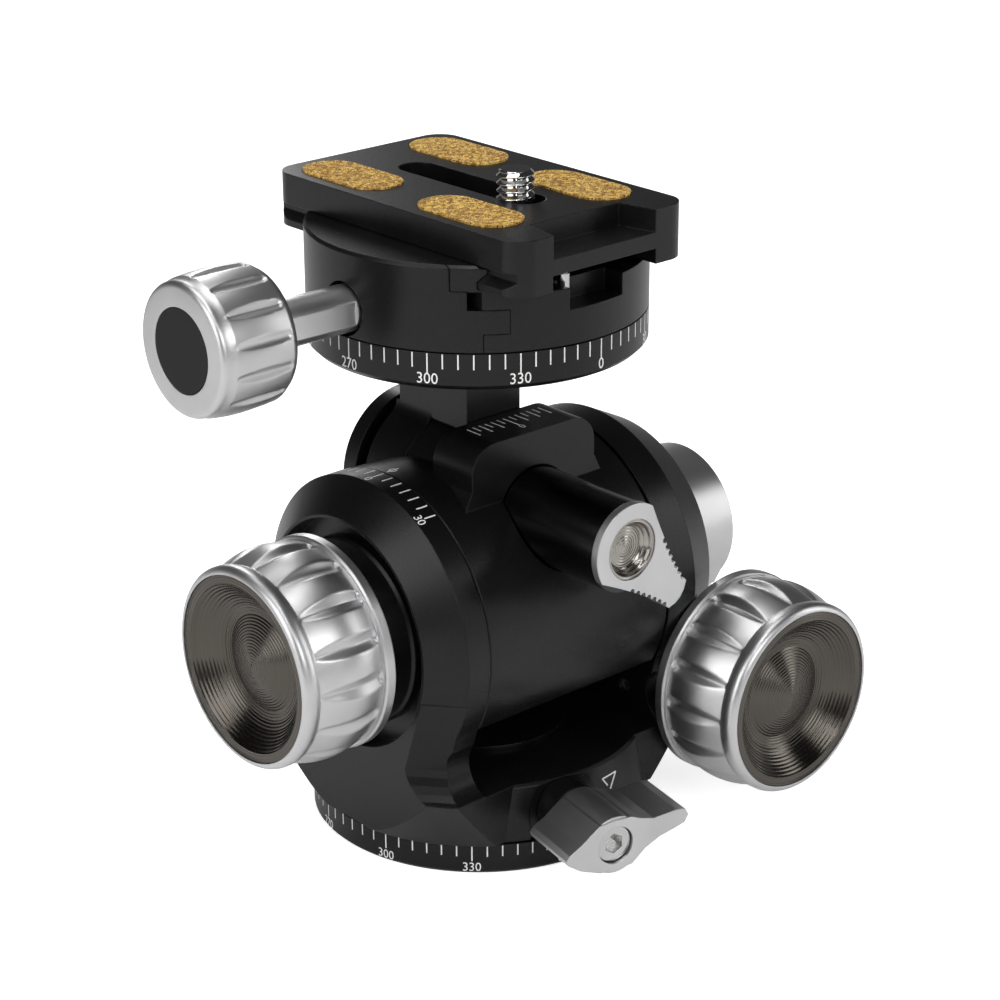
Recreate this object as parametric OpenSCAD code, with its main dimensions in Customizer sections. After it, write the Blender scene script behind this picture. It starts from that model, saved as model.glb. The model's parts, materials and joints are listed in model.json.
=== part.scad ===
// Geared tripod head: a round base that pans, a drum that tilts to and fro,
// a post that tilts from side to side, and a panning clamp with a sliding plate.
// Millimetres. Origin at the centre of the base's underside, +Z up.
// X is the drum's axis, with the post's knob at -X. The plate's long way is Y.

/* [Base] */
// Radius of the base ring
base_r = 30.2; // [29.8:0.1:31]
// Height of the base ring
base_h = 5.5; // [5.3:0.1:6.5]
// Wall radius of the tripod thread, a 3/8 inch tapped hole
tripod_thread_r = 3.97; // [3.9:0.01:4.1]
// Height of the yoke's floor above the ground
floor_z = 16; // [15.8:0.1:16.4]

/* [Drum] */
// Height of the drum's axis
drum_z = 41; // [40.9:0.05:41.3]
// Radius of the drum and of the uprights
drum_r = 26.3; // [26:0.1:26.5]
// Half width of the drum, along its axis
drum_half_w = 20.6; // [20.4:0.1:20.7]
// Thickness of the left upright before its slanted face
upright_w = 4.6; // [4.3:0.1:5]
// Depth of the left upright's slanted face
upright_slant = 4.9; // [4.6:0.1:5.2]

/* [Post] */
// Distance from the drum's axis up to the post's axis, and of every worm from its wheel's axis
worm_centre = 18.5; // [18.45:0.01:18.6]
// Radius of the post's round foot
foot_r = 13.7; // [13.5:0.1:13.8]
// Width of the post
post_w = 12; // [11.5:0.1:12.5]
// Depth of the post, front to back
post_d = 17.8; // [17.6:0.1:18.2]
// Place of the post's front face
post_front_y = -4; // [-4.2:0.1:-3.8]

/* [Knobs] */
// Radius of the tilt knobs at their widest
knob_r = 18.6; // [18.3:0.1:18.9]
// Length of the tilt knobs
knob_len = 17.9; // [17.5:0.1:18.4]
// Number of flutes on a tilt knob
knob_flutes = 16; // [12:1:20]
// Gap between a tilt knob and the body behind it
knob_gap = 3.9; // [3.7:0.1:4.2]

/* [Clamp] */
// Radius of the scale ring and of the clamp
clamp_r = 29; // [28.8:0.1:29.3]
// Height of the scale ring's underside
ring_z = 87.3; // [87:0.1:87.8]
// Height of the scale ring
ring_h = 6.2; // [6:0.1:6.4]
// Height of the clamp above the scale ring
clamp_h = 14.4; // [14.3:0.1:14.6]

/* [Plate] */
// Width of the quick-release plate
plate_w = 38; // [37.8:0.1:38.2]
// Length of the quick-release plate
plate_l = 62; // [60:0.5:64]
// Height of the whole plate
plate_h = 9.2; // [9:0.1:9.3]
// Radius of the camera screw, a quarter-inch thread
camera_screw_r = 3.175; // [3.1:0.005:3.2]
// Height of the camera screw above the plate
camera_screw_up = 4.6; // [4:0.1:6]

/* [Hidden] */
// Shared fits and finish
run_fit = 0.05;
face_gap = 0.3;
part_gap = 0.25;
over = 1;
edge = 0.5;
// How far apart neighbouring slants start, so that no three edges meet in a point
lead = 0.25;
smooth = 96;
fine = 48;

// Base, spindle and insert
base_edge = 0.6;
insert_r = 6;
insert_z0 = 0.4;
insert_z1 = 9;
spindle_r = 8;
spindle_foot_r = 13;
spindle_foot_z0 = 0.8;
spindle_foot_h = 2;
spindle_head_r = 12;
spindle_head_h = 2;
spindle_head_z = floor_z - 4.8;
washer_r = 20;
washer_t = 0.2;
base_screw_r = 1.5;
base_screw_head_r = 2.6;
base_screw_head_h = 1.3;
base_screw_len = 3.8;
base_screw_pcd_r = 10.3;
base_screw_n = 3;

// Yoke plinth and feet
yoke_z0 = base_h + face_gap;
plinth_in = 0.2;
plinth_taper = 1;
plinth_r0 = base_r - plinth_in;
plinth_r1 = plinth_r0 - plinth_taper;
foot_flare = 6.8;
foot_flare_r = plinth_r0 + foot_flare;
foot_block_in = 5;
foot_block_y = plinth_r0 - foot_block_in;
face_x = drum_half_w + face_gap + upright_w + upright_slant;
inner_x = drum_half_w + face_gap;
slant_x = inner_x + upright_w;
upright_r = drum_r + 0.2;
slant_r = upright_r - 5.8;
leg_waist_y = 20.9;
leg_waist_z = 21.4;
leg_fillet_r = 5.4;
leg_top_y = 25.5;
leg_top_z = 34.6;
floor_cap_r = 15.4;
floor_cap_h = 0.8;
floor_cap_plug = 1.6;

// Left upright: recess, bearing cap and bore
recess_depth = 3.6;
recess_r = 20.2;
trunnion_r = 12;
trunnion_bore_r = 7;
bearing_cap_r = 16.6;
bearing_cap_in_r = 8.4;
bearing_cap_t = 2.4;

// Right upright: gear housing and worm housing
right_full_x = inner_x + 6.2;
right_slant_x = inner_x + 13.4;
right_slant_r = 23;
housing_r = 16.3;
housing_x = right_slant_x + 5;
wheel_x = 36.3;
wheel_w = 4;
wheel_room = 0.6;
cover_t = 1.6;
right_trunnion_r = 11;
worm_house_r = 9.2;
worm_house_y0 = -20;
worm_house_y1 = 17;
set_screw_r = 1.4;
set_screw_len = 9;
set_screw_y = -15.5;
set_screw_z = 20.2;

// Worms and wheels
module_mm = 1;
worm_pitch_r = 4.5;
worm_ecc = 0.95;
worm_core_r = worm_pitch_r;
worm_turns = 4;
worm_pitch = PI * module_mm;
worm_len = worm_turns * worm_pitch;
worm_steps = 12;
worm_sides = 18;
wheel_teeth = round(2 * (worm_centre - worm_pitch_r) / module_mm);
wheel_pitch_r = worm_centre - worm_pitch_r;
tooth_tip = 0.72;
tooth_root = 1.25;
tooth_tip_share = 0.1;
tooth_pitch_share = 0.18;
tooth_root_share = 0.3;
shaft_r = 3;
wheel_bore_r = 7;
bush_r = 5.6;
bush_room = 1.4;
// Where the drum's wheel starts, so that a tooth meets the thread at rest
wheel_phase_share = 0.25;
worm_room_r = 6;
wheel_room_r = wheel_pitch_r + tooth_tip + 0.5;
sector_half_angle = 58;

// Drum: saddle, slot and lower cut
drum_low_r = 23.6;
drum_low_angle = 30;
block_x = 13.9;
block_y0 = -14.3;
block_y1 = post_front_y - face_gap;
block_z = 73.8;
block_round = 5;
block_flare = 2.2;
saddle_back_y0 = 17;
saddle_back_y1 = 20.2;
saddle_back_r = 13.9;
slot_front_y = 5.2;
slot_back_y = saddle_back_y0;
slot_room = 0.3;
post_z = drum_z + worm_centre;
post_shaft_r = 4;
barrel_r = 7.8;
lever_ring_r = 8;
barrel_sink = 2;

// Post
foot_y0 = slot_front_y + face_gap;
foot_y1 = 14.6;
post_fillet = 3;
sleeve_r = 7;

// Post lock lever, at the front
lever_end_share = 0.12;
lever_tip_share = 0.03;
post_lever_y = -38.2;
barrel_len = 23.2;
lever_plate_t = 1.4;
lever_tab_len = 16.4;
lever_tab_angle = -46;
lever_tab_w = 5.6;
dish_r = 5.3;
dish_depth = 2;
dish_in_share = 0.55;
serration_n = 7;
serration_r = 0.55;
serration_from = 0.42;
serration_to = 0.92;
post_tab_start = -0.2;
post_tab_bend = 1.35;
drum_tab_start = 0.47;
drum_tab_bend = 1;
lever_tab_t = 4;

// Drum lock lever, at the right
drum_lever_r = 13.5;
drum_lever_x0 = housing_x + cover_t + part_gap;
drum_lever_x1 = 50.8;
drum_lever_tab = 22;
drum_lever_tab_w = 8;
drum_tab_x0 = 46.1;
lock_bolt_r = 3;
lock_bolt_head_r = 6.5;
lock_bolt_head_h = 2;

// Pan lock lever, at the foot
pan_angle = -102;
pan_z = 10.9;
pan_bolt_r = 2.45;
pan_hole_r = 2.6;
pan_collar_r = 6.2;
pan_flat_in = 0.4;
pan_flat_y = plinth_r1 - pan_flat_in;
pan_collar_out = 4.8;
pan_collar_y = pan_flat_y + pan_collar_out;
pan_hub_r = 5.2;
pan_lever_len = 12.3;
pan_lever_y0 = pan_collar_y + face_gap;
pan_lever_y1 = pan_lever_y0 + pan_lever_len;
pan_wing_right = 14.4;
pan_wing_left = 9.6;
pan_wing_t = 3;
// Wing outlines as shares of the wing's length and of its thickness
pan_right_shares = [
    [0, 1.56], [0.215, 1.5], [0.343, 1.22], [0.52, 0.98], [0.84, 1.06], [0.96, 0.94], [1, 0.55],
    [0.95, 0.12], [0.8, -0.08], [0.6, -0.3], [0.4, -0.75], [0.22, -1.47], [0, -1.56]
];
pan_left_shares = [
    [-0.32, -1.47], [-0.72, -0.95], [-0.96, -0.4], [-1, -0.1], [-0.93, 0.2], [-0.7, 0.6],
    [-0.51, 1.06], [-0.32, 1.48]
];
pan_head_r = 3.2;
pan_head_room = 0.2;
pan_head_sink = 0.7;
pan_head_h = 4;
pan_hex_r = 1.9;
pan_hex_depth = 2.4;
pad_len = 4;
pan_lever_tilt = 1.5;
pan_flat_half_w = 6.6;

// Tilt knob profile, measured from the front face back
lip_r = 17.5;
lip_len = 3.2;
lip_round = 1.1;
grip_front_r = 17.2;
grip_mid_r = 18.5;
grip_back_r = 18;
rim_len = 2.1;
flute_r = 2.6;
flute_in = 0.1;
flute_tilt = 6;
cap_r = 16.1;
cap_gap = 0.12;
cap_lip_w = 1.5;
cap_deep = 4.1;
cap_dome_r = 8.5;
cap_dome_up = 2.2;
cap_floor = 1.4;
cap_sink = 0.25;
knob_hub_r = 8;
knob_hub_len = 4.9;
knob_web = cap_sink + cap_deep + cap_floor + part_gap;
post_knob_back = face_x + knob_gap;
drum_knob_back = 26.2;
drum_knob_z = drum_z - worm_centre;

// Clamp: ring, body, jaw and screw
clamp_z0 = ring_z + ring_h + part_gap;
clamp_z1 = clamp_z0 + clamp_h;
ring_edge = 0.9;
pivot_r = 6;
pivot_head_r = 9;
pivot_head_h = 2;
pivot_screw_r = 1.5;
pivot_screw_y = 8.5;
channel_z = clamp_z1 - 4.9;
ledge_z = clamp_z1 - 3.9;
ledge_w = 4.5;
ledge_x = plate_w / 2 - ledge_w;
channel_gap = 0.1;
channel_half_w = plate_w / 2 + channel_gap;
jaw_lip_in = 1.3;
jaw_wall = 3.2;
jaw_top_wall = 1.3;
jaw_root_in = 4.1;
jaw_seat_in = 0.6;
jaw_x1 = -plate_w / 2 - jaw_wall;
jaw_x2 = -plate_w / 2 - jaw_top_wall;
jaw_x3 = jaw_root_in - plate_w / 2;
jaw_x4 = jaw_seat_in - plate_w / 2;
jaw_z1 = clamp_z1 - 4.3;
jaw_z2 = clamp_z1 - 7.4;
jaw_z3 = clamp_z1 - 11.3;
jaw_gap = 0.12;
jaw_slot_w = 1.8;
jaw_mid_y = 15.8;
clamp_knob_z = 98.2;
clamp_knob_x0 = -60.9;
clamp_knob_x1 = -46;
clamp_knob_front_r = 11;
clamp_knob_mid_r = 11.7;
clamp_knob_back_r = 10.9;
clamp_flutes = 14;
clamp_bead_share = 0.16;
clamp_flute_share = 0.2;
clamp_grip_share = 0.66;
clamp_flute_r = 1.5;
clamp_flute_in = 0.5;
clamp_disc_r = 7;
clamp_disc_t = 1.2;
clamp_stem_r = 4;
clamp_stem_flat = 3.5;
clamp_stem_x = -24.5;
clamp_hole_r = 4.6;
clamp_screw_r = 2.5;
clamp_screw_end = 4;
guide_pin_r = 1.5;
guide_pin_y = 11;
guide_pin_x0 = -25;
guide_pin_x1 = -6;
retainer_r = 3.6;
retainer_t = 0.8;
front_notch_x0 = -5.3;
front_notch_x1 = 6.6;
front_notch_depth = 3.6;
front_notch_y = 24;
safety_pin_r = 1.05;
safety_pin_x = -4.2;
safety_pin_y = -25.8;
safety_pin_top = 2;
safety_pin_len = 5.6;
safety_pin_travel = 1.8;

// Plate
plate_z0 = ledge_z + 0.12;
plate_z1 = plate_z0 + plate_h;
plate_corner = 4.2;
plate_side_h = 5.3;
groove_in = 1.3;
flange_h = 1.2;
notch_half_w = 9.7;
notch_left = -11.3;
notch_right = 11.4;
notch_y = -24;
notch_depth = 3.9;
under_half_w = 9.6;
under_depth = 1.5;
slot_half_w = 3.35;
slot_y0 = -15.4;
slot_y1 = 18.4;
slot_step_half_w = 4.8;
slot_step_depth = 1.2;
pad_x = 11.8;
pad_y0 = -12;
pad_y1 = 18.2;
pad_w = 10;
pad_l = 21;
pad_t = 0.8;
pad_sink = 0.5;
camera_screw_y = -9.7;
camera_head_r = 7.4;
camera_head_h = 1.9;
camera_dome = 0.9;
camera_neck_r = 2.5;
camera_thread_up = 0.5;
clip_r = slot_step_half_w - face_gap;
clip_t = 0.9;
coin_slot_w = 1.4;
coin_slot_d = 0.8;

// Put a part that is drawn along Z onto the X or Y way
module along_x(x, y, z) { translate([x, y, z]) rotate([0, 90, 0]) children(); }
module along_y(x, y, z) { translate([x, y, z]) rotate([-90, 0, 0]) children(); }
module ring(r_out, r_in, h) {
    difference() {
        cylinder(r = r_out, h = h, $fn = smooth);
        translate([0, 0, -over]) cylinder(r = r_in, h = h + 2 * over, $fn = smooth);
    }
}
module around(n) { for (i = [0 : n - 1]) rotate(360 * i / n) children(); }
module mirrored_y() { children(); mirror([0, 1, 0]) children(); }

// One tooth of a worm wheel, as shares of the tooth's pitch angle
module tooth_outline(teeth, pitch_r) {
    step = 360 / teeth;
    root = pitch_r - tooth_root;
    tip = pitch_r + tooth_tip;
    function at(r, share) = [r * cos(share * step), r * sin(share * step)];
    polygon([
        at(root - over, -tooth_root_share), at(root, -tooth_root_share), at(pitch_r, -tooth_pitch_share),
        at(tip, -tooth_tip_share), at(tip, tooth_tip_share), at(pitch_r, tooth_pitch_share),
        at(root, tooth_root_share), at(root - over, tooth_root_share)
    ]);
}
module wheel_outline(first, last) {
    union() {
        circle(r = wheel_pitch_r - tooth_root, $fn = fine);
        for (i = [first : last]) rotate(360 * i / wheel_teeth) tooth_outline(wheel_teeth, wheel_pitch_r);
    }
}
// The slant that lets a wheel's teeth lie along the worm's thread
wheel_twist = atan(worm_pitch / (2 * PI * worm_pitch_r));
function twist_over(w) = w * tan(wheel_twist) / wheel_pitch_r * 180 / PI;

// A worm along Z: a round core carried off centre round its axis
module worm_thread() {
    translate([0, 0, -worm_len / 2])
        linear_extrude(height = worm_len, twist = -360 * worm_turns, slices = worm_turns * worm_steps)
            translate([worm_ecc, 0]) circle(r = worm_core_r, $fn = worm_sides);
}

// Base

module base_ring() {
    color("#1c1c1e") difference() {
        rotate_extrude($fn = smooth) polygon([
            [0, 0], [base_r - base_edge, 0], [base_r, base_edge], [base_r, base_h], [0, base_h]
        ]);
        translate([0, 0, -over]) cylinder(r = spindle_r, h = base_h + 2 * over, $fn = smooth);
        translate([0, 0, -over])
            cylinder(r = spindle_foot_r, h = over + spindle_foot_z0 + spindle_foot_h, $fn = smooth);
        around(base_screw_n) translate([base_screw_pcd_r, 0, 0])
            cylinder(r = base_screw_r, h = spindle_foot_z0 + base_screw_len, $fn = fine);
    }
}

module pan_spindle() {
    color("silver") difference() {
        union() {
            translate([0, 0, spindle_foot_z0])
                cylinder(r = spindle_foot_r, h = spindle_foot_h, $fn = smooth);
            translate([0, 0, spindle_foot_z0])
                cylinder(r = spindle_r, h = spindle_head_z - spindle_foot_z0, $fn = smooth);
            translate([0, 0, spindle_head_z]) cylinder(r = spindle_head_r, h = spindle_head_h, $fn = smooth);
        }
        cylinder(r = insert_r, h = insert_z1, $fn = smooth);
        around(base_screw_n) translate([base_screw_pcd_r, 0, spindle_foot_z0]) {
            translate([0, 0, -over]) cylinder(r = base_screw_r, h = spindle_foot_h + 2 * over, $fn = fine);
            cylinder(r1 = base_screw_head_r, r2 = base_screw_r, h = base_screw_head_h, $fn = fine);
        }
    }
}

module tripod_insert() {
    color("silver") translate([0, 0, insert_z0]) ring(insert_r, tripod_thread_r, insert_z1 - insert_z0);
}

module base_screws() {
    color("dimgray") around(base_screw_n) translate([base_screw_pcd_r, 0, spindle_foot_z0]) difference() {
        union() {
            cylinder(r1 = base_screw_head_r, r2 = base_screw_r, h = base_screw_head_h, $fn = fine);
            cylinder(r = base_screw_r, h = base_screw_len, $fn = fine);
        }
        translate([0, 0, -over]) cylinder(r = base_screw_r / 2, h = over + base_screw_head_h / 2, $fn = 6);
    }
}

module pan_washer() {
    color("whitesmoke") translate([0, 0, base_h]) ring(washer_r, spindle_r + run_fit, washer_t);
}

// Yoke

// Half of an upright's outline, seen along X: the disc, its leg and the foot
module leg_outline() {
    difference() {
        union() {
            translate([0, drum_z]) circle(r = upright_r, $fn = smooth);
            polygon([
                [-leg_top_y, leg_top_z], [leg_top_y, leg_top_z],
                [leg_waist_y, leg_waist_z], [leg_waist_y, yoke_z0],
                [-leg_waist_y, yoke_z0], [-leg_waist_y, leg_waist_z]
            ]);
            translate([-foot_block_y, yoke_z0]) square([2 * foot_block_y, leg_waist_z - yoke_z0]);
        }
        for (s = [-1, 1]) translate([s * (leg_waist_y + leg_fillet_r), leg_waist_z])
            circle(r = leg_fillet_r, $fn = fine);
    }
}

// The outline along X, from x0 to x1
module leg_slab(x0, x1) {
    translate([x0, 0, 0]) rotate([90, 0, 90]) linear_extrude(height = x1 - x0) leg_outline();
}

// The flared plinth that the feet stand in
module foot_flare() {
    rotate_extrude($fn = smooth) polygon([
        [0, yoke_z0 - over], [plinth_r0 + edge, yoke_z0 - over], [foot_flare_r, floor_z],
        [2 * foot_flare_r - plinth_r0, 2 * floor_z - yoke_z0],
        [2 * foot_flare_r - plinth_r0, drum_z + upright_r + over], [0, drum_z + upright_r + over]
    ]);
}

// The air beside a leg's slanted outer face, as a prism that leans inwards from x0
module slant_cut(x0, depth, inset) {
    slope = atan(inset / depth);
    squeeze = cos(slope);
    waist = -leg_waist_y * squeeze;
    mirrored_y() translate([x0, 0, 0]) rotate([0, 0, slope]) rotate([90, 0, 90])
        translate([0, 0, -upright_r]) linear_extrude(height = 3 * upright_r) polygon([
            [-leg_top_y * squeeze, leg_top_z], [waist, leg_waist_z - lead],
            for (a = [15 : 15 : 90]) [
                waist - leg_fillet_r * (1 - cos(a)), leg_waist_z - lead - leg_fillet_r * sin(a)
            ],
            [-2 * upright_r, leg_waist_z - lead - leg_fillet_r], [-2 * upright_r, leg_top_z]
        ]);
}

// One upright, at +X: full width from x0 to x1, then slanted in to radius r2 at x2
module upright(x0, x1, x2, r2) {
    slope = (upright_r - r2) / (x2 - x1);
    start = x1 - lead;
    intersection() {
        leg_slab(x0, x2);
        union() {
            translate([x0 - over, -2 * upright_r, 0]) cube([start - x0 + over, 4 * upright_r, 4 * upright_r]);
            along_x(start, 0, drum_z)
                cylinder(r1 = upright_r + lead * slope, r2 = r2, h = x2 - start, $fn = smooth);
            difference() {
                translate([start, -foot_block_y - over, 0])
                    cube([x2 - start, 2 * (foot_block_y + over), leg_top_z]);
                slant_cut(x1 + lead, x2 - x1, upright_r - r2);
            }
        }
    }
}

module right_housing() {
    union() {
        along_x(right_slant_x - over, 0, drum_z)
            cylinder(r = housing_r, h = housing_x - right_slant_x + over, $fn = smooth);
        along_y(wheel_x, worm_house_y0, drum_knob_z)
            cylinder(r = worm_house_r, h = worm_house_y1 - worm_house_y0, $fn = fine);
        translate([right_full_x, -housing_r + edge, drum_knob_z - worm_house_r / 2])
            cube([housing_x - right_full_x, 2 * (housing_r - edge), worm_centre]);
    }
}

module pan_axis() { rotate([0, 0, pan_angle]) children(); }

module yoke() {
    color("#1b1b1d") difference() {
        union() {
            rotate_extrude($fn = smooth) polygon([
                [0, yoke_z0], [plinth_r0, yoke_z0], [plinth_r1, floor_z - edge],
                [plinth_r1 - edge, floor_z], [0, floor_z]
            ]);
            intersection() {
                union() {
                    translate([-face_x, -foot_block_y, yoke_z0])
                        cube([2 * face_x, 2 * foot_block_y, floor_z - yoke_z0]);
                    mirror([1, 0, 0]) upright(inner_x, slant_x, face_x, slant_r);
                    upright(inner_x, right_full_x, right_slant_x, right_slant_r);
                }
                foot_flare();
            }
            right_housing();
        }
        // Spindle bore and the pocket that the floor cap closes
        translate([0, 0, yoke_z0 - over]) cylinder(r = spindle_r + run_fit, h = floor_z, $fn = smooth);
        translate([0, 0, spindle_head_z - part_gap])
            cylinder(r = spindle_head_r + face_gap, h = floor_z, $fn = smooth);
        // Left bearing bore and recess
        along_x(-face_x - over, 0, drum_z)
            cylinder(r = trunnion_r + run_fit, h = upright_w + upright_slant + 2 * over, $fn = smooth);
        along_x(-face_x - over, 0, drum_z) cylinder(r = recess_r, h = recess_depth + over, $fn = smooth);
        // Right bearing bore and the wheel's room
        along_x(inner_x - over, 0, drum_z)
            cylinder(r = right_trunnion_r + run_fit, h = housing_x, $fn = smooth);
        along_x(wheel_x - wheel_w / 2 - wheel_room, 0, drum_z)
            cylinder(r = wheel_room_r, h = housing_x, $fn = smooth);
        // Worm room and its two bearings
        along_y(wheel_x, -worm_len / 2 - over, drum_knob_z)
            cylinder(r = worm_room_r, h = worm_len + 2 * over, $fn = fine);
        along_y(wheel_x, worm_house_y0 - over, drum_knob_z)
            cylinder(r = bush_r, h = worm_house_y1 - worm_house_y0 + 2 * over, $fn = fine);
        // Pan lock: a hole through to the spindle and a flat for the collar
        pan_axis() translate([0, 0, pan_z]) rotate([0, 90, 0])
            cylinder(r = pan_hole_r, h = base_r + over, $fn = fine);
        pan_axis() translate([pan_flat_y, -pan_flat_half_w, yoke_z0 - over])
            cube([2 * pan_flat_half_w, 2 * pan_flat_half_w, floor_z]);
        // Room for the drum's knob and its hub
        along_y(wheel_x, -drum_knob_back - over, drum_knob_z)
            cylinder(r = grip_mid_r + face_gap, h = over + face_gap, $fn = smooth);
        along_y(wheel_x, -drum_knob_back - over, drum_knob_z)
            cylinder(r = knob_hub_r + face_gap, h = over + knob_hub_len + face_gap, $fn = smooth);
        // Hole for the screw that holds the worm's bush
        along_x(inner_x - over, set_screw_y, set_screw_z)
            cylinder(r = set_screw_r, h = wheel_x - inner_x, $fn = fine);
    }
}

module worm_set_screws() {
    color("silver") along_x(inner_x + edge, set_screw_y, set_screw_z) difference() {
        cylinder(r = set_screw_r - run_fit, h = set_screw_len, $fn = fine);
        translate([0, 0, -over]) cylinder(r = set_screw_r / 2, h = over + set_screw_len / 4, $fn = 6);
    }
}

module floor_cap() {
    color("#202022") union() {
        translate([0, 0, floor_z]) cylinder(r = floor_cap_r, h = floor_cap_h, $fn = smooth);
        translate([0, 0, floor_z - floor_cap_plug])
            cylinder(r = spindle_head_r + face_gap - run_fit, h = floor_cap_plug + run_fit, $fn = smooth);
    }
}

module left_bearing_cap() {
    color("#111113") along_x(-face_x + recess_depth - bearing_cap_t, 0, drum_z)
        rotate_extrude($fn = smooth) polygon([
            [bearing_cap_in_r, 0], [bearing_cap_r - edge, 0], [bearing_cap_r, edge],
            [bearing_cap_r, bearing_cap_t], [bearing_cap_in_r, bearing_cap_t]
        ]);
}

module side_cover() {
    plug = housing_x - wheel_x - wheel_w / 2 - wheel_room;
    bore_r = max(wheel_bore_r, lock_bolt_head_r) + face_gap;
    color("#1b1b1d") difference() {
        along_x(housing_x - plug, 0, drum_z) cylinder(r = wheel_room_r, h = cover_t + plug, $fn = smooth);
        along_x(housing_x - plug - over, 0, drum_z)
            cylinder(r = bore_r, h = cover_t + plug + 2 * over, $fn = smooth);
        along_y(wheel_x, worm_house_y0, drum_knob_z)
            cylinder(r = worm_room_r, h = worm_house_y1 - worm_house_y0, $fn = fine);
    }
}

module drum_worm_bushes() {
    color("goldenrod") {
        along_y(wheel_x, worm_house_y0, drum_knob_z)
            ring(bush_r, shaft_r + run_fit, -worm_len / 2 - bush_room - worm_house_y0);
        along_y(wheel_x, worm_len / 2 + bush_room, drum_knob_z)
            ring(bush_r, shaft_r + run_fit, worm_house_y1 - worm_len / 2 - bush_room);
    }
}

// Pan lock

module pan_collar() {
    color("#111113") difference() {
        pan_axis() translate([pan_flat_y, 0, pan_z]) rotate([0, 90, 0])
            ring(pan_collar_r, pan_hole_r, pan_collar_y - pan_flat_y);
        translate([-base_r, -2 * base_r, 0]) cube([2 * base_r, 2 * base_r, yoke_z0]);
    }
}

module pan_brake_pad() {
    color("goldenrod") pan_axis() translate([spindle_head_r + run_fit, 0, pan_z]) rotate([0, 90, 0])
        cylinder(r = pan_bolt_r, h = pad_len, $fn = fine);
}

module pan_lock_bolt() {
    bolt_y0 = spindle_head_r + pad_len + face_gap;
    color("gainsboro") pan_axis() translate([0, 0, pan_z]) rotate([0, 90, 0]) difference() {
        union() {
            translate([0, 0, bolt_y0])
                cylinder(r = pan_bolt_r, h = pan_lever_y1 - pan_head_h - bolt_y0, $fn = fine);
            translate([0, 0, pan_lever_y1 - pan_head_h - pan_head_sink])
                cylinder(r = pan_head_r, h = pan_head_h, $fn = fine);
        }
        translate([0, 0, pan_lever_y1 - pan_hex_depth - pan_head_sink])
            cylinder(r = pan_hex_r, h = pan_hex_depth + over, $fn = 6);
    }
}

// Outline of the butterfly lever, seen from its front
module pan_lever_outline() {
    polygon(concat(
        [for (p = pan_right_shares) [p[0] * pan_wing_right, p[1] * pan_wing_t]],
        [for (p = pan_left_shares) [p[0] * pan_wing_left, p[1] * pan_wing_t]]
    ));
}

module pan_lock_lever() {
    color("silver") pan_axis() translate([pan_lever_y0, 0, pan_z])
        rotate([0, 90, 0]) rotate(90) difference() {
        union() {
            cylinder(r = pan_hub_r, h = pan_lever_y1 - pan_lever_y0 - lead, $fn = smooth);
            rotate(pan_lever_tilt) translate([0, 0, lead])
                linear_extrude(height = pan_lever_y1 - pan_lever_y0 - lead) pan_lever_outline();
        }
        translate([0, 0, -over]) cylinder(r = pan_bolt_r, h = pan_lever_y1, $fn = fine);
        translate([0, 0, pan_lever_y1 - pan_lever_y0 - pan_head_h - pan_head_sink])
            cylinder(r = pan_head_r + pan_head_room, h = pan_lever_y1, $fn = fine);
    }
}

// Drum

// The part of the drum below its broad front and back: a smaller radius that clears the floor
module drum_low_cut() {
    difference() {
        along_x(-drum_half_w - over, 0, drum_z)
            cylinder(r = drum_r + over, h = 2 * (drum_half_w + over), $fn = smooth);
        along_x(-drum_half_w - 2 * over, 0, drum_z)
            cylinder(r = drum_low_r, h = 2 * (drum_half_w + 2 * over), $fn = smooth);
        for (s = [0, 1]) mirror([0, s, 0])
            translate([-drum_half_w - 2 * over, 0, drum_z]) rotate([-drum_low_angle, 0, 0])
                translate([0, -2 * drum_r, 0]) cube([2 * (drum_half_w + 2 * over), 4 * drum_r, 2 * drum_r]);
    }
}

// Front block under the side scale, seen along Y
module block_outline() {
    side = block_x;
    base_z = drum_z + worm_centre;
    difference() {
        union() {
            translate([-side + block_round, base_z]) square([2 * (side - block_round), block_z - base_z]);
            translate([-side, base_z]) square([2 * side, block_z - block_round - base_z]);
            polygon([
                [-side - block_flare, base_z], [side + block_flare, base_z],
                [side + block_flare, base_z + block_flare],
                [side, base_z + 3 * block_flare], [-side, base_z + 3 * block_flare],
                [-side - block_flare, base_z + block_flare]
            ]);
            for (s = [-1, 1]) translate([s * (side - block_round), block_z - block_round])
                circle(r = block_round, $fn = fine);
        }
    }
}

module post_room() {
    // The slot that the post's foot turns in
    along_y(0, slot_front_y, post_z)
        cylinder(r = foot_r + slot_room, h = slot_back_y - slot_front_y, $fn = smooth);
    // The sleeve's hole and the sector's room
    along_y(0, -wheel_w / 2 - wheel_room, post_z)
        cylinder(r = sleeve_r + face_gap, h = slot_front_y + wheel_w / 2 + wheel_room + over, $fn = fine);
    intersection() {
        along_y(0, -wheel_w / 2 - wheel_room, post_z)
            cylinder(r = wheel_room_r, h = wheel_w + 2 * wheel_room, $fn = smooth);
        translate([-2 * drum_r, -drum_r, post_z - 2 * drum_r + wheel_room])
            cube([4 * drum_r, 2 * drum_r, 2 * drum_r]);
    }
}

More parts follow.
